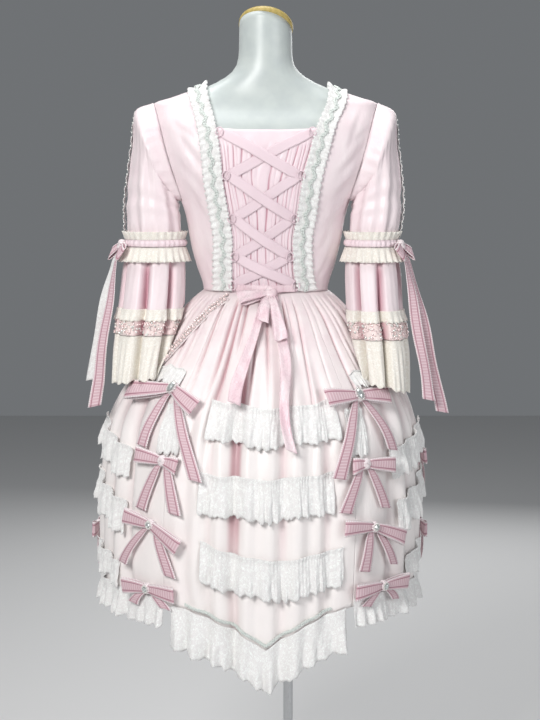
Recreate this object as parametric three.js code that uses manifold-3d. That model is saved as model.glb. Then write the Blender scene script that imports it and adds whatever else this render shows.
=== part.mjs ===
// Princess dress of pale pink satin with white lace and ribbon bows, worn by a limbless dress form
// on a pole stand. Millimetres, +Z up. The back of the dress faces +Y and the front faces -Y.
// The origin is on the floor at the pole.
import * as THREE from 'three';
import Module from 'manifold-3d';

const wasm = await Module();
wasm.setup();

// Driving dimensions
const waistZ = 1050; // height of the waist seam
const poleOffset = 42; // the pole stands this far to the wearer's right of the waist's middle
const seam = 0.3; // gap between pieces that are sewn together
const satin = 1.5; // wall of the satin
const laceWall = 1.2; // wall of lace, ribbon and braid
const underLace = 10; // the back's side panels reach this far past the middle of the lace on their edge
const casingInset = 15.5; // and the shirred panel stays this far short of it
const ruffleLift = 2.2; // outer face of a sewn edge above the cloth
const formInset = 5.4; // from the cloth's outer face in to the form
const bodiceSeamAngle = 0.12; // half the gap at the bodice's side seams, in degrees
const underarmZ = 1212;
const shoulderZ = 1388;
const neckTopZ = 1524; // middle of the neck's slanting top
const neckSlant = { side: 0.14, back: 0.54 }; // its rise towards the wearer's left and towards the back
const casingTopZ = 1342; // top edge of the shirred back panel
const frontNeckZ = 1300; // top edge of the front's middle panel
const poleRadius = 9;
const footRadius = 165;

// Outer face of the cloth on the body, as half width and depth to the back and front, by height
const bodySections = [
  { z: 690, side: 96, back: 70, front: 72, square: 2.1 },
  { z: 710, side: 128, back: 96, front: 98, square: 2.1 },
  { z: 760, side: 152, back: 116, front: 112, square: 2.1 },
  { z: 850, side: 164, back: 122, front: 116, square: 2.1 },
  { z: 1015, side: 121, back: 91, front: 94, square: 2.1 },
  { z: 1050, side: 114, back: 88, front: 90, square: 2.1 },
  { z: 1096, side: 127, back: 92, front: 102, square: 2.1 },
  { z: 1141, side: 138, back: 98, front: 121, square: 2.2 },
  { z: 1185, side: 146, back: 105, front: 129, square: 2.3 },
  { z: 1212, side: 154, back: 108, front: 124, square: 2.5 },
  { z: 1250, side: 170, back: 110, front: 113, square: 2.8 },
  { z: 1300, side: 187, back: 107, front: 98, square: 3.0 },
  { z: 1342, side: 197, back: 96, front: 82, square: 3.0 },
  { z: 1388, side: 204, back: 64, front: 52, square: 2.5 },
  { z: 1400, side: 168, back: 60, front: 50, square: 2.3 },
  { z: 1414, side: 131, back: 58, front: 50, square: 2.1 },
  { z: 1440, side: 76, back: 57, front: 52, square: 2.0 },
  { z: 1458, side: 58, back: 55, front: 52, square: 2.0 },
  { z: 1478, side: 54, back: 54, front: 51, square: 2.0 },
  { z: 1524, side: 53, back: 53, front: 51, square: 2.0 },
];

// Middle of the lace and braid on each side of the back opening, as distance from the middle, by height
const openingEdge = [
  { z: 1050, left: 76, right: 74 },
  { z: 1096, left: 76, right: 66 },
  { z: 1141, left: 75, right: 65 },
  { z: 1185, left: 81, right: 72 },
  { z: 1250, left: 92, right: 82 },
  { z: 1300, left: 97, right: 95 },
  { z: 1342, left: 104, right: 107 },
  { z: 1388, left: 117, right: 127 },
  { z: 1412, left: 126, right: 131 },
];

// The same for the front, where the lace ends at the square neckline
const frontEdge = [
  { z: 1050, left: 58, right: 58 },
  { z: 1185, left: 80, right: 80 },
  { z: 1300, left: 104, right: 104 },
  { z: 1342, left: 111, right: 111 },
  { z: 1388, left: 121, right: 126 },
  { z: 1412, left: 126, right: 131 },
];

// Outer envelope of the skirt without its folds, as half width and depth, by height
const skirtSections = [
  { z: 1050, side: 114, back: 88, front: 90, shift: 0 },
  { z: 1036, side: 132, back: 104, front: 104, shift: 0 },
  { z: 1010, side: 157, back: 134, front: 126, shift: 0 },
  { z: 960, side: 192, back: 173, front: 155, shift: 1 },
  { z: 910, side: 228, back: 208, front: 185, shift: 2 },
  { z: 860, side: 266, back: 238, front: 212, shift: 4 },
  { z: 800, side: 288, back: 262, front: 234, shift: 7 },
  { z: 740, side: 293, back: 276, front: 246, shift: 9 },
  { z: 660, side: 298, back: 287, front: 254, shift: 10 },
  { z: 560, side: 296, back: 292, front: 255, shift: 12 },
  { z: 490, side: 288, back: 291, front: 250, shift: 12 },
  { z: 360, side: 278, back: 288, front: 246, shift: 12 },
];

// Folds of the back skirt, as angle from the middle of the back, depth and half width in degrees
const backFolds = [
  { angle: 26, depth: 6, spread: 2.6 },
  { angle: 18, depth: 11, spread: 2.8 },
  { angle: 9, depth: 24, spread: 2.6 },
  { angle: 1, depth: 6, spread: 2.4 },
  { angle: -8, depth: 14, spread: 2.8 },
  { angle: -17, depth: 7, spread: 2.6 },
  { angle: -24, depth: 12, spread: 2.8 },
];
const sideFoldStep = 13; // spacing of the folds round the sides and front
const sideFoldDepth = 11;
const bowWidth = 25; // width of the ribbon of the skirt's bows
const loopRise = 16; // how far a loop 100 mm long stands off towards its end
const bowSeat = 0.7; // back of a bow's knot above the skirt's envelope
const gatherDepth = 5; // small gathers just below the waist

// Panels of the skirt, as angles from the middle of the back towards the wearer's left
const panels = [
  { name: 'skirt_back', from: -34, to: 34, columns: 34 },
  { name: 'skirt_left', from: 34, to: 112, columns: 20 },
  { name: 'skirt_front', from: 112, to: 248, columns: 20 },
  { name: 'skirt_right', from: 248, to: 326, columns: 20 },
];
const skirtRows = [0, 0.08, 0.2, 0.38, 0.64, 1]; // share of the way from waist to hem
const seamAngle = 0.1; // half the gap at the skirt's seams, in degrees
const skirtWall = 2.2; // measured level, as the cloth slopes
const columnAngle = 39; // the two columns of bows on the back run near this angle
const sideColumnAngle = 97; // and the next two near this one

// Sleeve rings below the armhole, for the wearer's left and right arm. Tilt is that of the ring's plane.
const sleeveRings = {
  left: [
    { x: 206, y: 0, z: 1291, tilt: 70, across: 84, deep: 66 },
    { x: 203, y: 2, z: 1265, tilt: 48, across: 58, deep: 62 },
    { x: 204, y: 4, z: 1228, tilt: 24, across: 49, deep: 58 },
    { x: 205, y: 6, z: 1192, tilt: 6, across: 49, deep: 56 },
    { x: 202, y: 9, z: 1135, tilt: 0, across: 50, deep: 56 },
  ],
  right: [
    { x: 205, y: 0, z: 1288, tilt: 70, across: 83, deep: 66 },
    { x: 202, y: 3, z: 1263, tilt: 48, across: 56, deep: 61 },
    { x: 202, y: 7, z: 1228, tilt: 24, across: 47, deep: 56 },
    { x: 201, y: 11, z: 1192, tilt: 6, across: 46, deep: 54 },
    { x: 194, y: 16, z: 1135, tilt: 0, across: 43, deep: 52 },
  ],
};

// Rings of the flounce, its beaded band and its lace cuff
const flounceRings = {
  left: [
    { x: 202, y: 9, z: 1134.7, across: 50, deep: 56, wave: 2 },
    { x: 204, y: 20, z: 1080, across: 53, deep: 60, wave: 4.5 },
    { x: 208, y: 36, z: 1017, across: 52, deep: 64, wave: 7.5 },
    { x: 214, y: 50, z: 974, across: 50, deep: 66, wave: 8 },
    { x: 222, y: 76, z: 899, across: 46, deep: 64, wave: 8.5, tilt: -8 },
  ],
  right: [
    { x: 194, y: 16, z: 1134.7, across: 43, deep: 52, wave: 2 },
    { x: 195, y: 34, z: 1080, across: 46, deep: 58, wave: 4.5 },
    { x: 197, y: 58, z: 1015, across: 44, deep: 62, wave: 7 },
    { x: 203, y: 76, z: 968, across: 44, deep: 62, wave: 8 },
    { x: 208, y: 106, z: 890, across: 42, deep: 60, wave: 8.5, tilt: -14 },
  ],
};
const flutes = 7; // deep flutes round a flounce
const fluteColumns = 28;
const flounceGap = 0.8; // between the flounce's slanting tiers
const torsoColumns = 24;
const sleeveFolds = 5; // soft folds round a sleeve's head
const skirtClearance = 6; // least distance of a sleeve from the skirt
const elbowBowLift = 7.1; // back of the elbow bow's knot from the sleeve
const elbowBowZ = 1134;
const bandGathers = 13; // gathers round an elbow band

// Bows down the two columns and at the outline. A loop is its length and how far it droops in degrees,
// a tail is how far it goes sideways and down from the knot.
const bows = [
  {
    name: 'bow_left_1', angle: 38, z: 883, endLift: 9,
    loops: [[94, 8], [66, 25]], tails: [[28, 92], [-80, 142]],
  },
  {
    name: 'bow_left_2', angle: 34.5, z: 766, endLift: 6,
    loops: [[58, -8], [30, 10]], tails: [[41, 82], [-26, 84]],
  },
  {
    name: 'bow_left_3', angle: 38, z: 656, endLift: 8,
    loops: [[62, -10], [68, 27]], tails: [[68, 72], [-37, 82]],
  },
  {
    name: 'bow_left_4', angle: 39.6, z: 544, endLift: 12,
    loops: [[60, 0], [60, 2]], tails: [[34, 26], [-34, 26]],
  },
  {
    name: 'bow_right_1', angle: -38.5, z: 872, endLift: 10,
    loops: [[62, 0], [66, 4]], tails: [[54, 129], [-52, 90]],
  },
  {
    name: 'bow_right_2', angle: -37.5, z: 760, endLift: 7,
    loops: [[26, 0], [62, 5]], tails: [[38, 76], [-41, 76]],
  },
  {
    name: 'bow_right_3', angle: -40.5, z: 651, endLift: 6,
    loops: [[62, -6], [76, 20]], tails: [[12, 72], [-52, 70]],
  },
  {
    name: 'bow_right_4', angle: -46, z: 544, endLift: 12,
    loops: [[64, 0], [66, 0]], tails: [[34, 26], [-34, 26]],
  },
  {
    name: 'bow_side_left', angle: 97, z: 604, endLift: 6,
    loops: [[44, 0], [44, 0]], tails: [[26, 54], [-28, 60]],
  },
  {
    name: 'bow_side_right_1', angle: -97, z: 742, endLift: 6,
    loops: [[44, 0], [44, 0]], tails: [[26, 66], [-24, 70]],
  },
  {
    name: 'bow_side_right_2', angle: -97, z: 606, endLift: 6,
    loops: [[44, 0], [44, 0]], tails: [[26, 54], [-24, 62]],
  },
];

// Lace bands round the skirt, as heights of the upper edge at both ends and how far they drop in the middle.
// Where the cloth under a band is sharply folded, clear holds it a little further off.
const laceBands = [
  {
    name: 'lace_back_1', from: -28, to: 20,
    startZ: 870, endZ: 870, sag: 13, height: 57, flare: 12,
    steps: [0, 0.55, 1], clear: 0.6,
  },
  {
    name: 'lace_back_2', from: -26, to: 21,
    startZ: 748, endZ: 748, sag: 9, height: 62, flare: 13,
  },
  {
    name: 'lace_back_3', from: -29, to: 20,
    startZ: 620, endZ: 630, sag: 24, height: 60, flare: 14,
  },
  {
    name: 'swag_left_1', from: 53, to: 88, split: 2,
    startZ: 776, endZ: 822, sag: 6, height: 46, flare: 11,
  },
  {
    name: 'swag_left_2', from: 54, to: 88, split: 2,
    startZ: 682, endZ: 725, sag: 4, height: 50, flare: 11,
  },
  {
    name: 'swag_left_3', from: 57, to: 85, split: 2,
    startZ: 572, endZ: 592, sag: 0, height: 36, flare: 9,
  },
  {
    name: 'swag_right_1', from: -88, to: -53, split: 2,
    startZ: 812, endZ: 776, sag: 6, height: 46, flare: 11,
  },
  {
    name: 'swag_right_2', from: -88, to: -56, split: 2,
    startZ: 725, endZ: 682, sag: 4, height: 50, flare: 11,
  },
  {
    name: 'swag_right_3', from: -85, to: -63, split: 2,
    startZ: 592, endZ: 572, sag: 0, height: 36, flare: 9,
  },
  {
    name: 'lace_fall_left', from: 29, to: 38, split: 2,
    startZ: 860, endZ: 860, sag: 0, height: 77, flare: 4,
    steps: [0, 0.2, 0.55, 1],
  },
  {
    name: 'lace_fall_right', from: -39, to: -31, split: 2,
    startZ: 851, endZ: 851, sag: 0, height: 73, flare: 4,
    steps: [0, 0.1, 0.5, 1],
  },
];

// Hem ruffles, with the drop below the satin's edge
const hemRuffles = [
  { name: 'hem_ruffle_back', from: -31, to: 31, drop: 70, rise: 4, flare: 16, split: 1 },
  { name: 'hem_ruffle_left', from: 34, to: 177, closing: 179.7, drop: 36, rise: 14, flare: 12, split: 2 },
  { name: 'hem_ruffle_right', from: 180, to: 326, drop: 36, rise: 14, flare: 12, split: 2 },
];
const sideHemZ = 516; // height of the satin's edge at the sides and front
const backHemZ = 445; // and at the lowest place of the back
const hemDip = { middle: -2.5, reach: 36, power: 1.6 }; // where the dip is and how far it spans

const colours = {
  satin: 0xf2dade,
  bodice: 0xf5e4e7,
  lace: 0xeef1ec,
  cream: 0xf1eedd,
  ribbon: 0xd9a7b2,
  lacing: 0xe6c3cc,
  bow: 0xdf9fae,
  braid: 0xb3c2bd,
  beads: 0xe8b9bf,
  form: 0xb4c4bf,
  wood: 0xb9a45c,
  steel: 0xc3c6c8,
};

const radians = (degrees) => (degrees * Math.PI) / 180;
const mix = (a, b, t) => a + (b - a) * t;
const vector = (x, y, z) => new THREE.Vector3(x, y, z);
const bell = (x) => Math.exp(-x * x);

// Straight interpolation of one column of a table by height, whichever way the table runs
function column(rows, name, z) {
  const up = rows[0].z < rows[rows.length - 1].z ? rows : [...rows].reverse();
  if (z <= up[0].z) return up[0][name];
  for (let i = 1; i < up.length; i++) {
    if (z > up[i].z) continue;
    const t = (z - up[i - 1].z) / (up[i].z - up[i - 1].z);
    return mix(up[i - 1][name], up[i][name], t);
  }
  return up[up.length - 1][name];
}

// Closed body from two matching grids of points. A wrapped grid joins its last column to its first.
function shell(outer, inner, wrap = false) {
  const rows = outer.length;
  const columns = outer[0].length;
  const points = [...outer.flat(), ...inner.flat()];
  const half = rows * columns;
  const at = (r, c, side) => side * half + r * columns + (c % columns);
  const index = [];
  const quad = (a, b, c, d) => index.push(a, b, c, a, c, d);
  const last = wrap ? columns : columns - 1;
  for (let r = 0; r < rows - 1; r++) {
    for (let c = 0; c < last; c++) {
      quad(at(r, c, 0), at(r + 1, c, 0), at(r + 1, c + 1, 0), at(r, c + 1, 0));
      quad(at(r, c, 1), at(r, c + 1, 1), at(r + 1, c + 1, 1), at(r + 1, c, 1));
    }
  }
  for (let c = 0; c < last; c++) {
    quad(at(0, c, 0), at(0, c + 1, 0), at(0, c + 1, 1), at(0, c, 1));
    quad(at(rows - 1, c, 0), at(rows - 1, c, 1), at(rows - 1, c + 1, 1), at(rows - 1, c + 1, 0));
  }
  if (!wrap) {
    for (let r = 0; r < rows - 1; r++) {
      quad(at(r, 0, 0), at(r, 0, 1), at(r + 1, 0, 1), at(r + 1, 0, 0));
      const e = columns - 1;
      quad(at(r, e, 0), at(r + 1, e, 0), at(r + 1, e, 1), at(r, e, 1));
    }
  }
  return facingOut(points, index);
}

// Geometry whose triangles are turned so that its volume is positive
function facingOut(points, index) {
  let volume = 0;
  for (let i = 0; i < index.length; i += 3) {
    const [a, b, c] = [points[index[i]], points[index[i + 1]], points[index[i + 2]]];
    volume += a.dot(b.clone().cross(c));
  }
  if (volume < 0) index.reverse();
  const geometry = new THREE.BufferGeometry().setFromPoints(points);
  return geometry.setIndex(index);
}

// Unit normals of a grid whose columns run towards the wearer's left along the back and whose rows run down
function gridNormals(grid, wrap, flip) {
  const columns = grid[0].length;
  return grid.map((row, r) =>
    row.map((_, c) => {
      const before = wrap ? (c + columns - 1) % columns : Math.max(c - 1, 0);
      const after = wrap ? (c + 1) % columns : Math.min(c + 1, columns - 1);
      const along = row[after].clone().sub(row[before]);
      const down = grid[Math.min(r + 1, grid.length - 1)][c].clone().sub(grid[Math.max(r - 1, 0)][c]);
      return along.cross(down).normalize().multiplyScalar(flip ? -1 : 1);
    }),
  );
}

// Wall whose outer face is the grid and whose inner face lies one thickness inside it
function wall(grid, thickness, { wrap = false, flip = false } = {}) {
  const normals = gridNormals(grid, wrap, flip);
  const inner = grid.map((row, r) =>
    row.map((p, c) => p.clone().addScaledVector(normals[r][c], -thickness)),
  );
  return shell(grid, inner, wrap);
}

// Point of a body of superellipse sections. The angle runs from the back's middle towards the wearer's left.
function bodyPoint(angle, z) {
  const a = radians(angle);
  const power = 2 / column(bodySections, 'square', z);
  const depth = column(bodySections, Math.cos(a) >= 0 ? 'back' : 'front', z);
  const x = Math.sign(Math.sin(a)) * Math.abs(Math.sin(a)) ** power * column(bodySections, 'side', z);
  const y = Math.sign(Math.cos(a)) * Math.abs(Math.cos(a)) ** power * depth;
  return vector(x, y, z);
}

// Normal of any surface given as a function of angle and height
function surfaceNormal(surface, angle, z) {
  const along = surface(angle + 0.5, z).sub(surface(angle - 0.5, z));
  const down = surface(angle, z - 2).sub(surface(angle, z + 2));
  return along.cross(down).normalize();
}

// Point moved out from a surface along its normal
function lifted(surface, angle, z, lift) {
  return surface(angle, z).addScaledVector(surfaceNormal(surface, angle, z), lift);
}

// Angle at which the body has a given distance from the middle, on its back or its front
function bodyAngle(x, z, front = false) {
  const side = column(bodySections, 'side', z);
  const share = Math.min(Math.abs(x) / side, 1) ** (column(bodySections, 'square', z) / 2);
  const angle = (Math.asin(share) * 180) / Math.PI;
  return Math.sign(x) * (front ? 180 - angle : angle);
}

// Half width of the armhole at a height, with how far round the armhole that height is
function armhole(z) {
  const middle = (underarmZ + shoulderZ) / 2;
  const reach = (shoulderZ - underarmZ) / 2;
  const round = Math.sqrt(Math.max(0, 1 - ((z - middle) / reach) ** 2));
  return column(bodySections, 'side', z) - 9 * round;
}

// Fold depth of the skirt, which is nought at the waist and along the columns of bows
function foldDepth(angle, z) {
  const wrapped = ((((angle + 180) % 360) + 360) % 360) - 180;
  const grown = THREE.MathUtils.smoothstep(waistZ - z, 40, 230);
  const clearOf = (columnAt) => 1 - bell((Math.abs(wrapped) - columnAt) / 6);
  let depth = 0;
  for (const fold of backFolds) depth += fold.depth * bell((wrapped - fold.angle) / fold.spread);
  const pastColumn = Math.max(0, Math.abs(wrapped) - columnAngle - 8);
  depth += sideFoldDepth * (0.5 - 0.5 * Math.cos(radians((pastColumn / sideFoldStep) * 360)));
  return depth * grown * clearOf(columnAngle) * clearOf(sideColumnAngle);
}

// Point of the skirt's envelope, and of the skirt itself with its folds
function skirtEnvelope(angle, z) {
  const a = radians(angle);
  const depth = column(skirtSections, Math.cos(a) >= 0 ? 'back' : 'front', z);
  const shift = column(skirtSections, 'shift', z);
  return vector(shift + Math.sin(a) * column(skirtSections, 'side', z), Math.cos(a) * depth, z);
}

function levelInward(angle) {
  return vector(-Math.sin(radians(angle)), -Math.cos(radians(angle)), 0);
}

function skirtPoint(angle, z) {
  return skirtEnvelope(angle, z).addScaledVector(levelInward(angle), foldDepth(angle, z));
}

function hemHeight(angle) {
  const off = ((((angle - hemDip.middle + 180) % 360) + 360) % 360) - 180;
  const dip = Math.max(0, 1 - Math.abs(off) / hemDip.reach) ** hemDip.power;
  return sideHemZ - (sideHemZ - backHemZ) * dip;
}

function colouredMesh(name, geometry, colour, roughness = 0.6, metalness = 0) {
  const material = new THREE.MeshStandardMaterial({ color: colour, roughness, metalness });
  const mesh = new THREE.Mesh(geometry, material);
  mesh.name = name;
  return mesh;
}

// Solids for joining and cutting
function solidOf(geometry) {
  const index = geometry.getIndex().array;
  const vertProperties = new Float32Array(geometry.getAttribute('position').array);
  return new wasm.Manifold(new wasm.Mesh({ numProp: 3, vertProperties, triVerts: new Uint32Array(index) }));
}

function geometryOf(solid) {
  const mesh = solid.getMesh();
  const geometry = new THREE.BufferGeometry();
  geometry.setAttribute('position', new THREE.BufferAttribute(new Float32Array(mesh.vertProperties), 3));
  return geometry.setIndex([...mesh.triVerts]);
}

function joined(geometries) {
  return geometryOf(geometries.map(solidOf).reduce((sum, next) => sum.add(next)));
}

// Closed lathe from a profile of [radius, height] that starts and ends on the axis
function turned(profile, segments) {
  const points = [];
  const index = [];
  const ringOf = profile.map(([radius, z]) => {
    const first = points.length;
    const count = radius === 0 ? 1 : segments;
    for (let i = 0; i < count; i++) {
      const a = (i / segments) * 2 * Math.PI;
      points.push(vector(radius * Math.cos(a), radius * Math.sin(a), z));
    }
    return { first, count };
  });
  for (let k = 0; k < ringOf.length - 1; k++) {
    const [low, high] = [ringOf[k], ringOf[k + 1]];
    for (let i = 0; i < segments; i++) {
      const j = (i + 1) % segments;
      if (low.count > 1) index.push(low.first + i, low.first + j, high.first + (high.count > 1 ? j : 0));
      if (high.count > 1) index.push(low.first + (low.count > 1 ? i : 0), high.first + j, high.first + i);
    }
  }
  return facingOut(points, index);
}

// Ribbon along a path of {point, up}, lying on the path and one thickness deep
function ribbon(path, width, thickness) {
  const outer = [];
  const inner = [];
  path.forEach(({ point, up, wide = 1 }, i) => {
    const ahead = path[Math.min(i + 1, path.length - 1)].point;
    const behind = path[Math.max(i - 1, 0)].point;
    const side = up.clone().cross(ahead.clone().sub(behind)).normalize();
    const edge = side.multiplyScalar((width * wide) / 2);
    const low = [point.clone().sub(edge), point.clone().add(edge)];
    inner.push(low);
    outer.push(low.map((p) => p.clone().addScaledVector(up, thickness)));
  });
  return shell(outer, inner);
}

// The dress form: torso with a socket for the pole, and the neck's cap
function formTorso() {
  const levels = bodySections.map((row) => row.z);
  const around = torsoColumns;
  const rings = levels.map((z) =>
    Array.from({ length: around }, (_, i) => lifted(bodyPoint, (i * 360) / around, z, -formInset)),
  );
  const points = rings.flat();
  const index = [];
  for (let r = 0; r < rings.length - 1; r++) {
    for (let i = 0; i < around; i++) {
      const j = (i + 1) % around;
      const [a, b, c, d] = [r * around + i, r * around + j, (r + 1) * around + j, (r + 1) * around + i];
      index.push(a, b, c, a, c, d);
    }
  }
  rings[0].forEach((p) => p.setZ(bodySections[0].z));
  rings[rings.length - 1].forEach((p) => p.setZ(neckTopZ + p.x * neckSlant.side + p.y * neckSlant.back));
  for (const [r, turn] of [[0, 1], [rings.length - 1, -1]]) {
    points.push(vector(0, 0, r === 0 ? bodySections[0].z : neckTopZ));
    for (let i = 0; i < around; i++) {
      const pair = [r * around + i, r * around + ((i + 1) % around)];
      if (turn > 0) pair.reverse();
      index.push(pair[0], pair[1], points.length - 1);
    }
  }
  const socket = turned([[0, 600], [poleRadius + seam, 600], [poleRadius + seam, 830], [0, 830]], 24);
  socket.translate(-poleOffset, 0, 0);
  return geometryOf(solidOf(facingOut(points, index)).subtract(solidOf(socket)));
}

function neckCap() {
  const cap = turned([[0, 0.4], [49, 0.4], [49, 9], [46, 12.5], [0, 13.5]], 20);
  cap.scale(1, Math.hypot(1, neckSlant.back), 1);
  cap.rotateX(Math.atan(neckSlant.back));
  cap.rotateY(-Math.atan(neckSlant.side));
  cap.translate(0, 0, neckTopZ);
  return cap;
}

// The stand: pole and foot plate with its socket
function standPole() {
  return turned([[0, 12.3], [poleRadius, 12.3], [poleRadius, 829.5], [0, 829.5]], 24);
}

function standFoot() {
  const bore = poleRadius + seam;
  const profile = [
    [0, 0], [footRadius, 0], [footRadius, 7], [footRadius - 4, 11], [30, 16],
    [22, 22], [20, 70], [bore, 70], [bore, 12], [0, 12],
  ];
  return turned(profile, 24);
}

// Bodice panel between the opening or neckline edge and the side seam and armhole
function bodicePanel(side, front) {
  const table = front ? frontEdge : openingEdge;
  const name = side > 0 ? 'left' : 'right';
  const heights = [1409, 1400, 1388, 1342, 1300, 1250, 1220, underarmZ, 1185, 1141, 1096, waistZ];
  const columns = 6;
  const grid = heights.map((z) => {
    const edge = column(table, name, z);
    const innerX = edge + (front ? seam : -underLace);
    const inner = Math.abs(bodyAngle(innerX, z, front));
    let outer = front ? 90 + bodiceSeamAngle : 90 - bodiceSeamAngle;
    if (z > underarmZ && z < shoulderZ) outer = Math.abs(bodyAngle(armhole(z) - 1.4, z, front));
    return Array.from({ length: columns }, (_, i) => {
      return bodyPoint(side * mix(inner, outer, i / (columns - 1)), z);
    });
  });
  return wall(grid, satin, { flip: (side < 0) !== front });
}

// Middle front panel, from the waist up to the square neckline
function frontPanel() {
  const heights = [frontNeckZ, 1250, 1212, 1185, 1141, 1096, waistZ];
  const columns = 9;
  const grid = heights.map((z) => {
    const reach = 180 - Math.abs(bodyAngle(column(frontEdge, 'left', z) - seam, z, true));
    const turns = Array.from({ length: columns }, (_, i) => mix(-reach, reach, i / (columns - 1)));
    return turns.map((turn) => bodyPoint(180 + turn, z));
  });
  return wall(grid, satin);
}

// Shirred panel in the back opening: a plain casing along the top and upright gathers below it
function shirredPanel() {
  const heights = [casingTopZ, casingTopZ - 22, 1300, 1250, 1185, 1096, waistZ];
  const gathers = 14;
  const columns = 2 * gathers + 1;
  const grid = heights.map((z, r) => {
    const left = bodyAngle(column(openingEdge, 'left', z) - casingInset, z);
    const right = bodyAngle(-column(openingEdge, 'right', z) + casingInset, z);
    const depth = r < 2 ? 0 : 1.6;
    return Array.from({ length: columns }, (_, i) => {
      const angle = mix(right, left, i / (columns - 1));
      return lifted(bodyPoint, angle, z, -0.2 - (i % 2) * depth);
    });
  });
  return wall(grid, 1);
}

// Point on the slope of the shoulder above a given place, found by halving the range of heights
function shoulderPoint(x, y, lift = 0) {
  const inside = (z) => {
    const power = column(bodySections, 'square', z);
    const depth = column(bodySections, y >= 0 ? 'back' : 'front', z);
    return (Math.abs(x) / column(bodySections, 'side', z)) ** power + (Math.abs(y) / depth) ** power < 1;
  };
  let [low, high] = [1300, 1500];
  for (let i = 0; i < 24; i++) {
    const middle = (low + high) / 2;
    if (inside(middle)) low = middle;
    else high = middle;
  }
  const point = vector(x, y, low);
  if (lift === 0) return point;
  const along = shoulderPoint(x + 1, y).sub(shoulderPoint(x - 1, y));
  const back = shoulderPoint(x, y + 1).sub(shoulderPoint(x, y - 1));
  return point.addScaledVector(along.cross(back).normalize(), lift);
}

// Lace with a braid along its middle, from the waist up the back and over the shoulder to the front neckline
function openingLace(side) {
  const name = side > 0 ? 'left' : 'right';
  const frontHeights = [1303, 1322, 1342, 1362, 1380];
  const shoulderDepths = [-34, -17, 0, 19, 38];
  const upperHeights = [1388, 1366, 1342, 1320, 1300, 1275, 1250];
  const backHeights = [...upperHeights, 1218, 1185, 1163, 1141, 1118, 1096, waistZ + 1];
  const across = [-17, -6, 6, 17];
  const liftOf = (i, r) => laceWall + (i % 3 === 0 ? 3.4 + 2.2 * (r % 2) : 1.4 + 0.3 * (r % 2));
  const onBody = (z, r, front) =>
    across.map((offset, i) => {
      const x = side * (column(front ? frontEdge : openingEdge, name, z) + offset);
      return lifted(bodyPoint, bodyAngle(x, z, front), z, liftOf(i, r));
    });
  const grid = [
    ...frontHeights.map((z, r) => onBody(z, r, true)),
    ...shoulderDepths.map((y, r) =>
      across.map((offset, i) => {
        const middle = mix(column(frontEdge, name, 1400), column(openingEdge, name, 1400), (y + 34) / 72);
        return shoulderPoint(side * (middle + offset), y, liftOf(i, r + 1));
      }),
    ),
    ...backHeights.map((z, r) => onBody(z, r, false)),
  ];
  return wall(grid, laceWall, { flip: side < 0 });
}

// Point on the back of the body by its distance from the middle
function backPoint(x, z, lift) {
  const angle = bodyAngle(x, z);
  return { point: lifted(bodyPoint, angle, z, lift), up: surfaceNormal(bodyPoint, angle, z) };
}

// One of the two crossing ribbons. It goes from side to side and is over the other at every second crossing.
function lacingRibbon(first) {
  const stops = [
    { z: 1334, left: 80, right: 82 },
    { z: 1258, left: 68, right: 62 },
    { z: 1182, left: 58, right: 50 },
    { z: 1114, left: 53, right: 42 },
    { z: 1062, left: 56, right: 52 },
  ];
  const passes = [];
  for (let i = 0; i < stops.length - 1; i++) {
    const fromLeft = (i % 2 === 0) === first;
    const start = fromLeft ? stops[i].left : -stops[i].right;
    const end = fromLeft ? -stops[i + 1].right : stops[i + 1].left;
    const over = (i % 2 === 0) === first;
    const path = [0, 0.25, 0.5, 0.75, 1].map((t) => {
      const lift = mix(1.5, over ? 4.2 : 1.3, Math.sin(Math.PI * t));
      return backPoint(mix(start, end, t), mix(stops[i].z, stops[i + 1].z, t), lift);
    });
    passes.push(ribbon(path, 15, 1));
  }
  return joined(passes);
}

// Ribbon across the waist, which comes forward to the bow's knot
function waistRibbon() {
  const course = [
    { x: 52, lift: 3.5 },
    { x: 34, lift: 8 },
    { x: 12, lift: 12 },
    { x: -12, lift: 12 },
    { x: -34, lift: 8 },
    { x: -52, lift: 3.5 },
  ];
  const path = course.map(({ x, lift }) => backPoint(x, waistZ + 7, lift));
  return ribbon(path, 13, laceWall);
}

// The parts of a bow are drawn in its own frame, as sideways, up and out, and placed by a function
function bowKnot(place) {
  const corners = [0, 14].flatMap((c) => [-9, 9].flatMap((b) => [-8, 8].map((a) => place(a, b, c))));
  const faces = [
    [0, 1, 3, 2], [4, 6, 7, 5], [0, 4, 5, 1],
    [2, 3, 7, 6], [0, 2, 6, 4], [1, 5, 7, 3],
  ];
  return facingOut(corners, faces.flatMap(([a, b, c, d]) => [a, b, c, a, c, d]));
}

function bowLoop(place, way, [reach, droop], width) {
  const outline = [
    { a: 5, c: 9, inA: 0, inC: -1.2, wide: 0.7 },
    { a: 0.6 * reach, c: 14, inA: 0, inC: -1.2, wide: 1 },
    { a: reach, c: 8, inA: -2, inC: 0, wide: 1 },
    { a: 5, c: 5, inA: 0, inC: 1.2, wide: 0.7 },
  ];
  const [ahead, up] = [Math.cos(radians(droop)), -Math.sin(radians(droop))];
  const rowOf = ({ a, c, inA, inC, wide }, inside) => {
    const length = a + inside * inA;
    const height = c + inside * inC + loopRise * (a / 100) ** 2;
    return [0.5, -0.5].map((edge) => {
      const half = edge * wide * width;
      return place(way * (length * ahead - half * up), length * up + half * ahead, height);
    });
  };
  return shell(outline.map((point) => rowOf(point, 0)), outline.map((point) => rowOf(point, 1)));
}

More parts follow.
